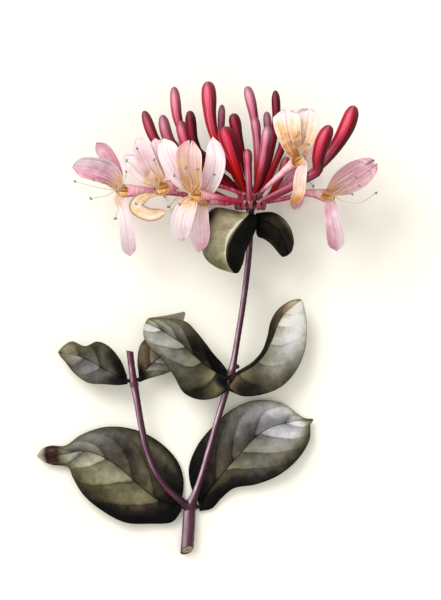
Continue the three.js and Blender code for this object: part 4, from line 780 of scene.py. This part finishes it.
# lit is painted light and shade: paler toward the light and darker in the furrows, with lengthwise streaks
lit = velvet.varied(velvet.plus(0.22, velvet.mark("painted_light"), 0.54), streak, 1.2)
lit = velvet.varied(velvet.plus(lit, velvet.mark("painted_furrow_shade"), -0.22), fine, 0.16)
tube_red = velvet.ramp(lit, (0.05, "380002"), (0.3, "8a0206"), (0.6, "bd090d"), (0.8, "d32328"),
                       (1.0, "ee9585"))
club_red = velvet.ramp(lit, (0.0, "200309"), (0.22, "600815"), (0.46, "a81528"), (0.68, "d1425a"),
                       (0.92, "f3a5b0"))
tube_red = velvet.mix(velvet.times(velvet.mark("outer"), 0.75), tube_red,
                      velvet.ramp(lit, (0.05, "4c1028"), (0.5, "a8506e"), (0.9, "e6b4c2")))
tone = velvet.mix(velvet.fit(along, 0.42, 0.78), tube_red, club_red)
tone = velvet.mix(velvet.times(pale, velvet.fit(along, 0.3, 0.6, 0.2, 1.2)), tone,
                  velvet.ramp(lit, (0.05, "6a2140"), (0.45, "b35579"), (0.85, "e6adc0")))
tone = velvet.mix(velvet.times(pale_tip, velvet.fit(along, 0.68, 1.0, 0, 0.9)), tone,
                  velvet.ramp(lit, (0.1, "93566a"), (0.5, "cc8d9f"), (0.9, "ecc8cf")))
tone = velvet.mix(deep, tone,
                  velvet.ramp(lit, (0.05, "120308"), (0.45, "3e0815"), (0.75, "7a1830"), (1.0, "b9506c")))
# the very tip is dusky
tone = velvet.mix(velvet.fit(along, 0.9, 1.0, 0, 0.55), tone, "5c3844")
bud_velvet = velvet.done(tone, fine, 0.04)
for name, bud in BUDS.items():
    grow_bud(name, *bud)


# The open flowers. Each is one corolla: a crimson tube that flares into a yellow throat and splits into a
# broad upper lip and a narrow lower lip, both thin, pale pink and creased along the middle. It was all one
# soft petal sheet, grown from its tube's foot on the whorl.
# "warm" is the yellow of the throat, "rose" the pink and the third tint a mauve-grey painted shade, each at
# the petal's foot, middle and tip. "lean" moves the pink to the petal's one side and the painted shade to its
# other,
# "edging" is a brown edge, and "pale" is how much paler a flower's tube is.
FLOWERS = {
    "flower_far_left": {
        "place": (OUTER_WHORL, 176),
        "tube": [(5, 108.2, 20.6), (-10, 110, 21.6), (-23.5, 110.3, 22)],
        "petals": [
            {"rib": [(-28.2, 116.2, 24.6), (-34.3, 118, 26), (-40.6, 118.6, 25)],
                "half": 4.2, "widest": 0.62,
                "warm": (0.9, 0.05, 0), "rose": (0.45, 0.75, 0.4), "painted_mauve_shade": (0.2, 0.5, 0.35), "lean": 0.6},
            {"rib": [(-26, 117.6, 21.4), (-28.9, 122.9, 21.6), (-32.6, 127.1, 21)], "half": 2.8,
                "warm": (0.4, 0, 0), "rose": (0.4, 0.75, 0.7), "painted_mauve_shade": (0.1, 0.25, 0.45), "lean": -0.3},
            {"rib": [(-22.6, 101, 23.6), (-21.6, 94, 21.4), (-20.7, 87.6, 17)],
                "half": 2.6, "widest": 0.82,
                "warm": (0.6, 0, 0), "rose": (0.05, 0.08, 0.32), "painted_mauve_shade": (0.25, 0.04, 0.2), "lean": 0.4},
        ],
        "stamens": [
            [(-31, 111.2, 27.6), (-39.6, 113.4, 28.4)],
            [(-29, 108.4, 28), (-34, 107.5, 29)],
            [(-24.5, 104.5, 28.4), (-25.6, 100.6, 28.6)],
            [(-28.4, 113.2, 29), (-33, 114, 31)],
            [(-22.6, 113.6, 27.6), (-21.6, 116.8, 28.6)],
        ],
    },
    "flower_left": {
        "place": (MIDDLE_WHORL, 131),
        "tube": [(11, 111.8, 24.9), (3.4, 112.8, 25.4), (-3.6, 112.4, 27.2), (-9.5, 111, 29)],
        "petals": [
            {"rib": [(-13.4, 118, 32), (-16, 123.4, 33), (-18, 128.2, 32.2)], "half": 3.3,
                "warm": (1, 0.25, 0), "rose": (0.3, 0.45, 0.14), "painted_mauve_shade": (0.05, 0.2, 0.2), "lean": 0.3},
            {"rib": [(-15.2, 115, 31), (-19, 118.8, 31.6), (-22.2, 122.4, 31)], "half": 3.2,
                "warm": (1, 0.2, 0), "rose": (0.25, 0.2, 0.1), "painted_mauve_shade": (0.05, 0.12, 0.2), "lean": 0.3},
            {"rib": [(-9.6, 118.4, 30.4), (-10.6, 123.4, 31), (-12, 128.2, 30.4)], "half": 3.2,
                "warm": (0.9, 0.1, 0), "rose": (0.3, 0.35, 0.3), "painted_mauve_shade": (0.05, 0.12, 0.1), "lean": 0.2},
            {"rib": [(-15.6, 108, 31.6), (-18.4, 104.6, 33), (-14, 101.8, 33.4), (-7.6, 102.8, 32)],
                "half": 2.4,
                "warm": (0.7, 0.45, 0.6), "rose": (0.1, 0.1, 0.15), "painted_mauve_shade": (0, 0.1, 0.1), "edging": 0.8},
        ],
        "stamens": [
            [(-14.5, 117.5, 35.2), (-17.9, 124.4, 37)],
            [(-16.5, 115.5, 35), (-21.4, 120.2, 36.4)],
            [(-12.6, 108.4, 35), (-18.2, 105.4, 37.4)],
            [(-10.4, 115.5, 34.8), (-12, 120.5, 37)],
        ],
    },
    "flower_front_left": {
        "place": (OUTER_WHORL, 117),
        "tube": [(12.4, 107.4, 29.4), (7, 108.2, 31.8), (1.8, 108.7, 33.2)],
        "petals": [
            {"rib": [(0.2, 116, 37.8), (-0.2, 121.8, 39.2), (0.5, 127.2, 38.2)], "half": 4.5,
                "lobes": 2, "notch": 0.1,
                "warm": (0.9, 0.46, 0.34), "rose": (0.8, 1.1, 0.5), "painted_mauve_shade": (0.1, 0.42, 0.3), "lean": 0.4},
            {"rib": [(-3.2, 115, 34.6), (-6.6, 121.6, 35.8), (-8.8, 128, 34.8)], "half": 3.8,
                "warm": (0.8, 0.1, 0), "rose": (0.45, 0.25, 0.05), "painted_mauve_shade": (0, 0.15, 0.05), "lean": -0.3},
            {"rib": [(-1.6, 102.6, 34.4), (-2.8, 98, 33.4), (-2.6, 92.8, 30)], "half": 3.7, "widest": 0.6,
                "warm": (0.9, 0.15, 0), "rose": (0.1, 0.12, 0.2), "painted_mauve_shade": (0.05, 0.12, 0.15), "lean": 0.5},
        ],
        "stamens": [
            [(-2, 109.6, 38.4), (-5.4, 109.2, 41)],
            [(0, 106, 38), (-3.2, 105.2, 40)],
            [(0.8, 113, 39.4), (-1, 117.6, 42)],
            [(2.8, 112.6, 39), (3, 117, 41.4)],
            [(-1.6, 112, 39.4), (-5, 115, 42)],
        ],
    },
    "flower_inner_left": {
        "place": (OUTER_WHORL, 145),
        "tube": [(12.4, 106, 25.4), (8.4, 106.6, 26.6), (4.8, 107, 27.4)],
        "petals": [
            {"rib": [(7.8, 115.4, 30.4), (9.0, 120.8, 31.4), (8.0, 128.8, 30.6)],
                "half": 3.6, "cup": 0.15, "widest": 0.55,
                "warm": (0.5, 0, 0), "rose": (0.3, 0.1, 0.05), "painted_mauve_shade": (0.1, 0.12, 0.05), "lean": 0.5},
            {"rib": [(3.4, 100.4, 27.6), (3.6, 95, 26.2), (3.1, 88.9, 23.4)], "half": 3.4, "widest": 0.6,
                "warm": (0.5, 0.05, 0), "rose": (0.1, 0.25, 0.45), "painted_mauve_shade": (0.1, 0.14, 0.1), "lean": 0.4},
        ],
        "stamens": [
            [(7.2, 111.8, 31.6), (8.6, 115.6, 34)],
            [(2.2, 104.2, 29.8), (0.8, 101.4, 30.4)],
        ],
        "rise": 2.2,
    },
    "flower_front_right": {
        "place": (MIDDLE_WHORL, 38), "pale": 0.45,
        "tube": [(27.6, 112.4, 27), (32.6, 116.8, 29.8), (37.4, 120.6, 32)],
        "petals": [
            {"rib": [(35, 126.8, 34.4), (33.6, 132.6, 35), (33, 138, 34)], "half": 4.7, "widest": 0.85,
                "lobes": 2, "notch": 0.08, "cup": 0.2,
                "warm": (0.9, 0.85, 0.2), "rose": (0.3, 0.15, 0.05), "painted_mauve_shade": (0, 0, 0.05), "lean": 0.3},
            {"rib": [(38.8, 126.6, 33), (40.4, 132.4, 33), (41.2, 138.4, 31.4)], "half": 4.4, "widest": 0.8,
                "lobes": 2, "cup": 0.2,
                "warm": (0.9, 0.7, 0.25), "rose": (0.2, 0.05, 0.08), "painted_mauve_shade": (0, 0.05, 0.15), "lean": 0.3},
            {"rib": [(38.1, 114.6, 33.4), (37.6, 109.6, 31.6), (35.2, 104.8, 28.8)],
                "half": 2.2, "widest": 0.6,
                "warm": (0.3, 0.35, 0.95), "rose": (0.15, 0.2, 0.3), "painted_mauve_shade": (0, 0, 0.1)},
        ],
        "stamens": [
            [(37, 124.6, 37.6), (34.8, 126.6, 39)],
            [(38, 125, 38), (36.8, 128.4, 39.6)],
            [(39, 124.8, 38), (39.4, 128, 39.6)],
            [(38.6, 123.4, 38.2), (40.8, 125.6, 40)],
        ],
    },
    "flower_far_right": {
        "place": (OUTER_WHORL, 0),
        "tube": [(32.5, 107.6, 21.4), (40.6, 109.6, 22.8), (48, 108.6, 24)],
        "petals": [
            {"rib": [(53.2, 113, 27.4), (58.6, 116.2, 28.6), (64.4, 120.2, 27)], "half": 5.2,
                "lobes": 3, "notch": 0.18,
                "warm": (0.6, 0.32, 0.05), "rose": (1.4, 1.2, 0.5), "painted_mauve_shade": (0.2, 0.4, 0.3), "lean": 0.1},
            {"rib": [(49.2, 101.4, 25.8), (50.4, 95.4, 24), (51.2, 89.4, 19.6)],
                "half": 3.1, "widest": 0.78,
                "warm": (0.3, 0, 0), "rose": (0.45, 0.4, 0.6), "painted_mauve_shade": (0.35, 0.2, 0.15), "lean": -0.5},
        ],
        "stamens": [
            [(53.6, 106.4, 29), (58.8, 106, 30), (64.4, 109.4, 30)],
            [(53.6, 112, 31), (57.4, 114.6, 33)],
            [(54, 110.4, 31), (58.4, 111.8, 33)],
            [(52.6, 108.6, 31), (56, 108.8, 33)],
        ],
    },
    "flower_under_left": {
        "place": (OUTER_WHORL, 231),
        "tube": [(11, 108, 12.4), (5.6, 110.4, 9), (0.8, 112, 6.4)],
        "petals": [
            {"rib": [(-3.4, 118.4, 3.6), (-4.8, 123.6, 2), (-5.4, 128.6, 0.9)], "half": 4.6,
                "facing": (-0.2, 0, -1), "cup": 0.12, "lobes": 4, "notch": 0.14,
                "warm": (0.9, 0.2, 0), "rose": (0.3, 0.35, 0.3), "painted_mauve_shade": (0.05, 0.1, 0.15)},
            {"rib": [(-1.2, 105.4, 3.4), (-2, 100, 1.6), (-2.4, 95, 0.7)], "half": 2.8,
                "facing": (-0.2, 0, -1), "cup": 0.1,
                "warm": (0.6, 0, 0), "rose": (0.2, 0.3, 0.45), "painted_mauve_shade": (0.1, 0.1, 0.2)},
        ],
        "stamens": [
            [(-5.4, 112.6, 3.2), (-10, 113.4, 1.2)],
            [(-5, 110.4, 3), (-9, 109, 1.2)],
            [(-4.6, 108.6, 3), (-7.6, 105.4, 1.2)],
        ],
    },
    "flower_under_right": {
        "place": (OUTER_WHORL, 310),
        "tube": [(28.6, 109.6, 12.8), (32.8, 113.6, 9.6), (36.2, 117.2, 7.2)],
        "petals": [
            {"rib": [(38.4, 125.6, 4.2), (39.6, 133, 2.2), (40.4, 140.2, 0.9)], "half": 4.2,
                "facing": (0.2, 0, -1), "cup": 0.12, "lobes": 4, "notch": 0.12,
                "warm": (0.9, 0.3, 0), "rose": (0.3, 0.3, 0.25), "painted_mauve_shade": (0.05, 0.1, 0.1)},
            {"rib": [(38.4, 111.8, 3.9), (37.8, 108, 2), (36.6, 104.4, 0.8)], "half": 2.4,
                "facing": (0.2, 0, -1), "cup": 0.1,
                "warm": (0.6, 0, 0), "rose": (0.2, 0.3, 0.45), "painted_mauve_shade": (0.1, 0.1, 0.2)},
        ],
        "stamens": [
            [(41.4, 117.2, 3.6), (45.4, 116.4, 1.2)],
            [(41.4, 119, 3.8), (45.2, 121, 1.3)],
            [(41, 115.6, 3.6), (43.4, 112.6, 1.2)],
        ],
    },
}
THROAT = 2.5  # radius of the mouth
SLANT = 0.85  # how far the rim is set back for each millimetre towards the open side
# the radii of the tube: its outside from the foot to the mouth, and its inside up to the mouth
TUBE_OUTSIDE = [(0, 0.5), (0.02, 0.64), (0.2, 0.78), (0.45, 0.95), (0.65, 1.2), (0.82, 1.7), (0.93, 2.2),
                (1, THROAT)]
TUBE_INSIDE = [(0.7, 0.3), (0.78, 0.85), (0.84, 1.35), (0.93, 1.95), (1, 2.32)]
TUBE_RINGS, TUBE_SIDES = 60, 36
PETAL = 0.24  # thickness in the middle of a petal
PETAL_STEPS, PETAL_COLUMNS = 60, 40
CREASE = 0.16  # depth of the crease along the middle


def facing_of(petals):
    """The way that a flower faces."""
    return unit(np.array(petals[0].get("facing", (0, 0, 1)), float))


def throat_of(tube):
    """The middle of the mouth, and the way that it opens."""
    mouth = measured(tube, [1.0])[0]
    return mouth, unit(mouth - measured(tube, [0.999])[0])


def rooted(tube, rib, face):
    """A petal's midline from inside the tube's wall, over the rim and out along its points."""
    mouth, axis = throat_of(tube)
    lean = np.array(rib[0]) - mouth
    lean = unit(lean - axis * lean.dot(axis))
    lean = unit(lean - face * max(lean.dot(face), 0))
    root = measured(tube, [0.95])[0] + lean * (THROAT - 0.5) - face * 0.4
    rim = mouth + axis * 0.9 + lean * (THROAT - 0.2) - face * 0.4
    return [root, rim, *rib]


def turned(vectors, axis, angle):
    """Vectors turned round an axis."""
    angle = angle[..., None]
    along = (vectors @ axis)[..., None] * axis
    return along + (vectors - along) * np.cos(angle) + np.cross(axis, vectors) * np.sin(angle)


def slanted(points, mouth, axis, face):
    """The throat is slit open on the side that the flower faces, so its rim slants back there."""
    forward = np.clip(((points - mouth) @ axis + 4.5) / 4.5, 0, 1)
    return points - axis * (SLANT * forward * forward * ((points - mouth) @ face))[..., None]


def grow_petal(tube, rib, half, warm, rose, painted_mauve_shade, widest=0.7, facing=(0, 0, 1), cup=0.25, lobes=1,
               notch=0.05, lean=0.0, edging=0.0, seed=0):
    face = unit(np.array(facing, float))
    line = rooted(tube, rib, face)
    mouth, axis = throat_of(tube)
    t = np.linspace(0, 1, PETAL_STEPS + 1)[:, None]
    along = t + 0.25 * t * (1 - t)
    across = np.linspace(-1, 1, PETAL_COLUMNS + 1)[None]
    across = across * (1.2 - 0.2 * across**2)
    share = np.abs(across)
    lobed = ((np.sin(np.pi / 2 * lobes * (across + 1)) ** 2 + 0.03) / 1.03) ** 0.35
    reach = along * (1 - notch * (1 - lobed))
    middle = through(line, reach)
    ahead = unit(through(line, np.minimum(reach + 1e-3, 1)) - through(line, np.maximum(reach - 1e-3, 0)))
    opening = np.sin(np.pi / 2 * np.minimum(reach / widest, 1)) ** 1.5
    rounding = np.sqrt(1 - 0.97 * ((along - widest) / (1 - widest)).clip(0) ** 3.4)
    width = (0.9 + (half - 0.9) * opening) * rounding
    side = unit(np.cross(ahead, face))
    over = np.cross(side, ahead)
    plate = middle + side * (across * width)[..., None] + over * (cup * width * across**2)[..., None]
    # near the throat the petal is part of its wall, so there its midline is swung round the tube's axis
    hug = np.clip(0.24 * half + 0.1, 0.6, 1.8)
    swung = mouth + turned(middle - mouth, axis, np.broadcast_to(-across * hug, reach.shape))
    leave = eased(reach, 0.1, 0.52)[..., None]
    surface = slanted(swung, mouth, axis, face) * (1 - leave) + plate * leave
    frill = 0.2 * share**2 * along**2 * np.sin(12 * along + 3 * across + seed)
    frill = frill + 0.14 * along**3 * np.sin(6 * across + 1.7 * seed)
    crease = CREASE * bell(across, 0.07) * np.sin(np.pi * along.clip(0, 1)) ** 0.5
    beside = bell(share - 0.42, 0.05) + 0.7 * bell(share - 0.7, 0.05)
    crease = crease + 0.08 * beside * np.sin(np.pi * along)
    for number in range(1, lobes):
        crease = crease + 0.14 * bell(across + 1 - 2 * number / lobes, 0.08) * along
    edge = np.clip(1 - share**8, 0, 1) * np.clip((1 - along) / 0.03, 0, 1) ** 0.5
    edge = edge * np.clip(along / 0.01, 0, 1)
    lift = frill - crease
    body = PETAL * (0.55 + 0.45 * (1 - share) * (1 - along))
    points = sheet(surface, lift + body / 2 * edge, lift - body / 2 * edge)
    flat = np.ones_like(lift)
    tints = [np.interp(along, (0.2, 0.55, 0.95), stops) * flat for stops in (warm, rose, painted_mauve_shade)]
    tints[1] = tints[1] * np.clip(1 - lean * across * 1.4, 0, 2)
    tints[2] = tints[2] * np.clip(1 + lean * across * 1.4, 0, 2)
    marks = {"lie": (across * flat, along * flat, seed * flat), "tint": tints,
             "line": (crease / CREASE, edging * eased(share, 0.55, 0.95) * flat, flat)}
    for mark, values in marks.items():
        marks[mark] = np.stack([both_faces(value, value) for value in values], 1)
    marks["inner"] = both_faces(flat, 0 * flat)
    return points, sheet_faces(PETAL_STEPS, PETAL_COLUMNS), marks


def grow_corolla(name, place, tube_way, petals, pale):
    tube = [on_whorl(*place)] + tube_way
    outside, inside = np.linspace(0, 1, TUBE_RINGS), np.linspace(1, 0.72, 20)[1:]
    walls = []
    for shares, radii in ((outside, TUBE_OUTSIDE), (inside, TUBE_INSIDE)):
        wall, turn = swept(tube, shares, radii_at(radii, shares), TUBE_SIDES, -0.02 - 0.04 * shares)
        walls.append(wall)
    rings, span = np.concatenate(walls), np.concatenate([outside, inside])
    mouth, axis = throat_of(tube)
    points, faces = skin(slanted(rings, mouth, axis, facing_of(petals)))
    lie = np.broadcast_arrays(turn[None] / np.pi - 1, span[:, None], 0.0)
    lie = np.stack(lie, -1).reshape(-1, 3)
    # the side of the tube toward the light, for its painted highlight
    painted_light = np.append(unit(rings - rings.mean(1, keepdims=True)) @ PAINTED_LIGHT_FROM, (0, 0))
    bare = np.zeros(len(points))
    within = np.repeat(np.arange(len(span)) >= TUBE_RINGS, TUBE_SIDES)
    shells = [(points, faces)]
    marks = [{"lie": np.vstack([lie, (0, 0, 0), (0, 0.7, 0)]), "tint": np.column_stack([bare, bare, bare]),
              "line": np.column_stack([painted_light, bare + pale, bare]), "inner": np.append(within, (0, 1))}]
    tube_faces = len(faces)
    for seed, petal in enumerate(petals, len(name)):
        petal_points, petal_faces, petal_marks = grow_petal(tube, seed=seed, **petal)
        shells.append((petal_points, petal_faces))
        marks.append(petal_marks)
    points, faces = together(shells)
    points[:, 2] = np.maximum(points[:, 2], 0.05)
    add_piece(name, points, faces, [tube_skin, petal_satin],
              {mark: np.concatenate([part[mark] for part in marks]) for mark in marks[0]},
              np.arange(len(faces)) >= tube_faces)


# the tube: crimson at its foot, rose towards the mouth, streaked lengthwise, and yellow within, painted paler
# on the side toward the light, a painted highlight, and darker away from it, painted shade
tube = Finish("tube_skin", 0.42, Specular_IOR_Level=0.15, Sheen_Weight=0.05, Sheen_Tint=(1.0, 0.6, 0.65, 1))
_, along, _ = tube.marks("lie")
painted_light, pale, _ = tube.marks("line")
streak = tube.noise(tube.spot((1, 0.3, 1)), 1.4)
lit = tube.varied(tube.plus(0.42, painted_light, 0.4), streak, 0.8)
crimson = tube.ramp(lit, (0.1, "48061a"), (0.4, "931032"), (0.65, "ba2a50"), (0.95, "e8a0b0"))
rosy = tube.ramp(lit, (0.1, "9c3f5c"), (0.5, "d97f94"), (0.9, "f7d6d8"))
tone = tube.mix(tube.fit(tube.plus(along, pale), 0.35, 0.92), crimson, rosy)
throat = tube.ramp(streak, (0.3, "cf8a4a"), (0.5, "efbe6e"), (0.7, "f8e0a8"))
tube_skin = tube.done(tube.mix(tube.mark("inner"), tone, throat), streak, 0.05)

# the petals: thin and satiny, near white, washed with rose, a mauve-grey painted shade and the yellow of the
# throat
petal = Finish("petal_satin", 0.5, Specular_IOR_Level=0.3, Sheen_Weight=0.08, Subsurface_Weight=0.12,
               Subsurface_Radius=(0.0009, 0.0006, 0.0005))
place = petal.mark("lie", "Vector")
across, along, _ = petal.apart(place)
warm, rose, painted_mauve_shade = petal.marks("tint")
crease, edging, _ = petal.marks("line")
grain = petal.noise(petal.stretched(place, (7.0, 1.2, 3.0)), 1.0)
veins = petal.noise(petal.stretched(place, (20.0, 1.0, 3.0)), 1.0, 2.0)
blush = petal.noise(petal.spot(), 0.28, 2.0)
vary = petal.varied(petal.varied(1.0, grain, 1.3), blush, 1.6)
tone = petal.ramp(petal.times(rose, vary), (0.0, "fbf3f0"), (0.3, "f2cfd3"), (0.6, "de9eae"), (1.0, "c5657f"))
# the mauve-grey painted shade
tone = petal.mix(petal.times(painted_mauve_shade, vary), tone, "a3879b")
tone = petal.mix(petal.fit(veins, 0.5, 0.64, 0, 0.24), tone, "b98290")
tone = petal.mix(petal.fit(veins, 0.48, 0.36, 0, 0.4), tone, "fffaf7")
heat = petal.times(warm, vary)
tone = petal.mix(petal.fit(heat, 0.05, 0.85, 0, 0.92), tone,
                 petal.ramp(heat, (0.2, "f7e2c0"), (0.55, "edc583"), (0.85, "d99b4e"), (1.0, "b8702f")))
lines = petal.times(petal.fit(veins, 0.5, 0.6, 0, 0.85), petal.fit(along, 0.72, 0.18))
tone = petal.mix(petal.times(lines, petal.fit(heat, 0.05, 0.5)), tone, "b8682f")
# painted shade along the creases
tone = petal.mix(petal.fit(crease, 0.2, 1.0, 0, 0.4), tone, "b98a94")
tone = petal.mix(edging, tone, "8a5a34")
rim = petal.fit(petal.number("ABSOLUTE", across), 0.86, 1.0, 0, 0.55)
tone = petal.mix(petal.times(rim, petal.number("SUBTRACT", 1.0, edging)), tone, "fdf7f4")
back = petal.mix(petal.fit(grain, 0.35, 0.65), "cf7f94", "efc9cd")
petal_satin = petal.done(petal.mix(petal.mark("inner"), back, tone), veins, 0.03)
for name, flower in FLOWERS.items():
    grow_corolla(name, flower["place"], flower["tube"], flower["petals"], flower.get("pale", 0.0))


# The stamens and style. In each flower the thin filaments rise from the throat together and part in front of
# it, each with a hinged anther of two pollen sacs. The first is the style, which ends in a round dull green
# stigma.
FILAMENT = 0.14  # radius in the middle of a filament
RISE = 3.4  # how far in front of the mouth the filaments part, where a flower gives no rise of its own
THREAD, STIGMA, ANTHER = 0.0, 0.5, 1.0  # the marks that the finish tells the three kinds by


def grow_stamens(name, place, tube_way, face, ends, rise):
    tube = [on_whorl(*place)] + tube_way
    mouth, outward = throat_of(tube)
    foot = measured(tube, [0.88])[0]
    shells, kinds, runs = [], [], []
    for number, way in enumerate(ends):
        spread = 0.28 * np.array((np.cos(2.4 * number), np.sin(2.4 * number), 0.4 * np.cos(5.1 * number)))
        line = [foot + 0.5 * spread, mouth - 0.8 * outward + 0.8 * face + spread, mouth + 1.3 * face + spread,
                mouth + 1.302 * outward + (0.13 + 0.9 * rise) * face + spread, *way]
        shares = np.linspace(0, 1, 60)
        radii = np.interp(shares, (0, 0.5, 0.96, 1), (FILAMENT + 0.04, FILAMENT, FILAMENT - 0.04, 0.08))
        shells.append(skin(swept(line, shares, radii, 8)[0]))
        kinds.append(np.full(len(shells[-1][0]), THREAD))
        runs.append(np.append(np.repeat(shares, 8), (0, 1)))
        tip, before = measured(line, [1.0, 0.97])
        ahead = unit(tip - before)
        if number == 0:
            ends_in = [bead([tip - 0.55 * ahead, tip + 0.45 * ahead], 0.42, 0.8, 15, 12)]
        else:
            swing = unit(np.cross(ahead, (0.3, 0.2, 1.0)) + 0.5 * ahead + 0.15 * face)
            beside = unit(np.cross(swing, face)) * 0.15
            ends_in = [bead([sac - 0.65 * swing, sac + 0.1 * ahead, sac + 0.65 * swing], 0.21, 0.6, 17, 10)
                       for sac in (tip - beside, tip + beside)]
        for points, faces in ends_in:
            shells.append((points, faces))
            kinds.append(np.full(len(points), STIGMA if number == 0 else ANTHER))
            runs.append(np.ones(len(points)))
    points, faces = together(shells)
    points[:, 2] = np.maximum(points[:, 2], 0.1)
    add_piece(name, points, faces, [stamen_thread],
              {"kind": np.concatenate(kinds), "run": np.concatenate(runs)})


thread = Finish("stamen_thread", 0.5)
dust = thread.noise(thread.spot(), 9.0, 2.0)
kind = thread.mark("kind")
tone = thread.ramp(thread.mark("run"), (0.2, "b98246"), (0.5, "d8c8a2"), (0.8, "b9b7a6"), (1.0, "8f9088"))
anther = thread.mix(thread.fit(dust, 0.35, 0.65), "74665a", "ae9a80")
tone = thread.mix(thread.fit(kind, 0.2, 0.4), tone, "7c8076")
tone = thread.mix(thread.fit(kind, 0.7, 0.9), tone, anther)
stamen_thread = thread.done(tone, dust, 0.05)
for name, flower in FLOWERS.items():
    grow_stamens(name + "_stamens", flower["place"], flower["tube"], facing_of(flower["petals"]),
                 flower["stamens"], flower.get("rise", RISE))


# The base of the flower head. The stem ends in a short tapering axis with a dusky red ovary under each bud
# and flower, topped by five tiny pale calyx teeth. All of it is one growth.
AXIS_RADII = [
    (0, 1.4), (0.03, 3.6), (0.07, 4.3), (0.12, 3.9), (0.22, 3.1), (0.45, 2.7), (0.62, 1.7), (0.8, 1.3),
    (0.93, 0.9), (1, 0.1),
]
CALYX_TEETH = 5
AXIS, OVARY, TOOTH = 0.0, 0.5, 1.0  # the marks that the finish tells the three kinds by


def grow_head_base():
    shares = np.linspace(0, 0.999, 60)
    radii = radii_at(AXIS_RADII, shares) * (1 + 0.03 * np.sin(40 * shares))
    line = [(HEAD[0], height, HEAD[1]) for height in (104.3, 107.5, 112.6)]
    shells, kinds = [skin(swept(line, shares, radii, 40, 0.03, 9)[0])], [AXIS]
    seats = [bud[:2] for bud in BUDS.values()] + [flower["place"] for flower in FLOWERS.values()]
    shares = np.linspace(0, 1, 8)
    for whorl, degrees in seats:
        seat = np.array(on_whorl(whorl, degrees))
        out = unit(seat - (HEAD[0], seat[1], HEAD[1]))
        low = seat - (0, 2.75, 0) - 0.35 * out
        shells.append(bead([low, (low + seat) / 2 - 0.05 * out, seat + (0, 0.12, 0)], 0.86, 0.75, 19, 20))
        kinds.append(OVARY)
        for tooth in range(CALYX_TEETH):
            angle = 2 * np.pi * tooth / CALYX_TEETH + degrees
            lean = np.array((np.cos(angle), 0, np.sin(angle)))
            root = seat + 0.42 * lean - (0, 0.3, 0)
            way = [root, root + 0.3 * lean + (0, 0.45, 0), root + 0.45 * lean + (0, 0.9, 0)]
            shells.append(skin(swept(way, shares, 0.2 * (1 - shares) ** 0.7 + 0.02, 8)[0]))
            kinds.append(TOOTH)
    kinds = np.repeat(kinds, [len(shell_points) for shell_points, _ in shells])
    points, faces = together(shells)
    add_piece("head_base", points, faces, [head_growth], {"kind": kinds})


growth = Finish("head_growth", 0.5, Sheen_Weight=0.1)
mottle = growth.noise(growth.spot(), 1.2)
kind = growth.mark("kind")
# the axis, deep among the ovaries, is painted near black, painted shade in the crevices between them
tone = growth.mix(growth.fit(mottle, 0.4, 0.65), "1e0a0c", "421c20")
ovary = growth.mix(growth.fit(mottle, 0.38, 0.62), "480c16", "a8384a")
tone = growth.mix(growth.fit(kind, 0.3, 0.5), tone, ovary)
tone = growth.mix(growth.fit(kind, 0.7, 0.95), tone, "e2b6ac")
head_growth = growth.done(tone, mottle, 0.08)
grow_head_base()


# The table that the sprig lies on, plain and pale, and a soft studio light from the upper left.
bpy.ops.mesh.primitive_plane_add(size=6, location=(0, 0, -0.0004))
table = bpy.context.object
table.name = "table"
top = Finish("table_top", 0.9, Specular_IOR_Level=0.1)
cloudy = top.noise(top.spot(), 0.004)
table.data.materials.append(top.done(top.ramp(cloudy, (0.3, "fbf8eb"), (0.7, "fdfaee"))))

LAMPS_AIM = np.array((0.01, 0.072, 0.015))  # the point that the lamps are turned to
for name, place, size, power in (("key", (-0.55, 0.75, 0.95), 0.7, 11.0),
                                 ("fill", (0.9, -0.2, 0.9), 1.0, 2.5),
                                 ("top", (0.0, 0.1, 1.6), 1.4, 7.5)):
    lamp = bpy.data.lights.new(name, "AREA")
    lamp.size, lamp.energy = size, power
    light = bpy.data.objects.new(name, lamp)
    light.location = place
    light.rotation_mode = "QUATERNION"
    light.rotation_quaternion = Vector(LAMPS_AIM - place).to_track_quat("-Z", "Y")
    bpy.context.collection.objects.link(light)
world = bpy.data.worlds.new("studio")
world.use_nodes = True
world.node_tree.nodes["Background"].inputs["Color"].default_value = (1, 0.985, 0.96, 1)
world.node_tree.nodes["Background"].inputs["Strength"].default_value = 0.5
bpy.context.scene.world = world
bpy.context.scene.view_settings.view_transform = "Standard"

# The camera looks straight down on the sprig, with the flower head at the top of the picture
lens = bpy.data.cameras.new("overhead")
lens.lens, lens.sensor_width, lens.clip_start, lens.clip_end = 205.7, 36, 0.1, 20
overhead = bpy.data.objects.new("overhead", lens)
overhead.location = (0.0107, 0.07245, 1.212)
bpy.context.collection.objects.link(overhead)
bpy.context.scene.camera = overhead
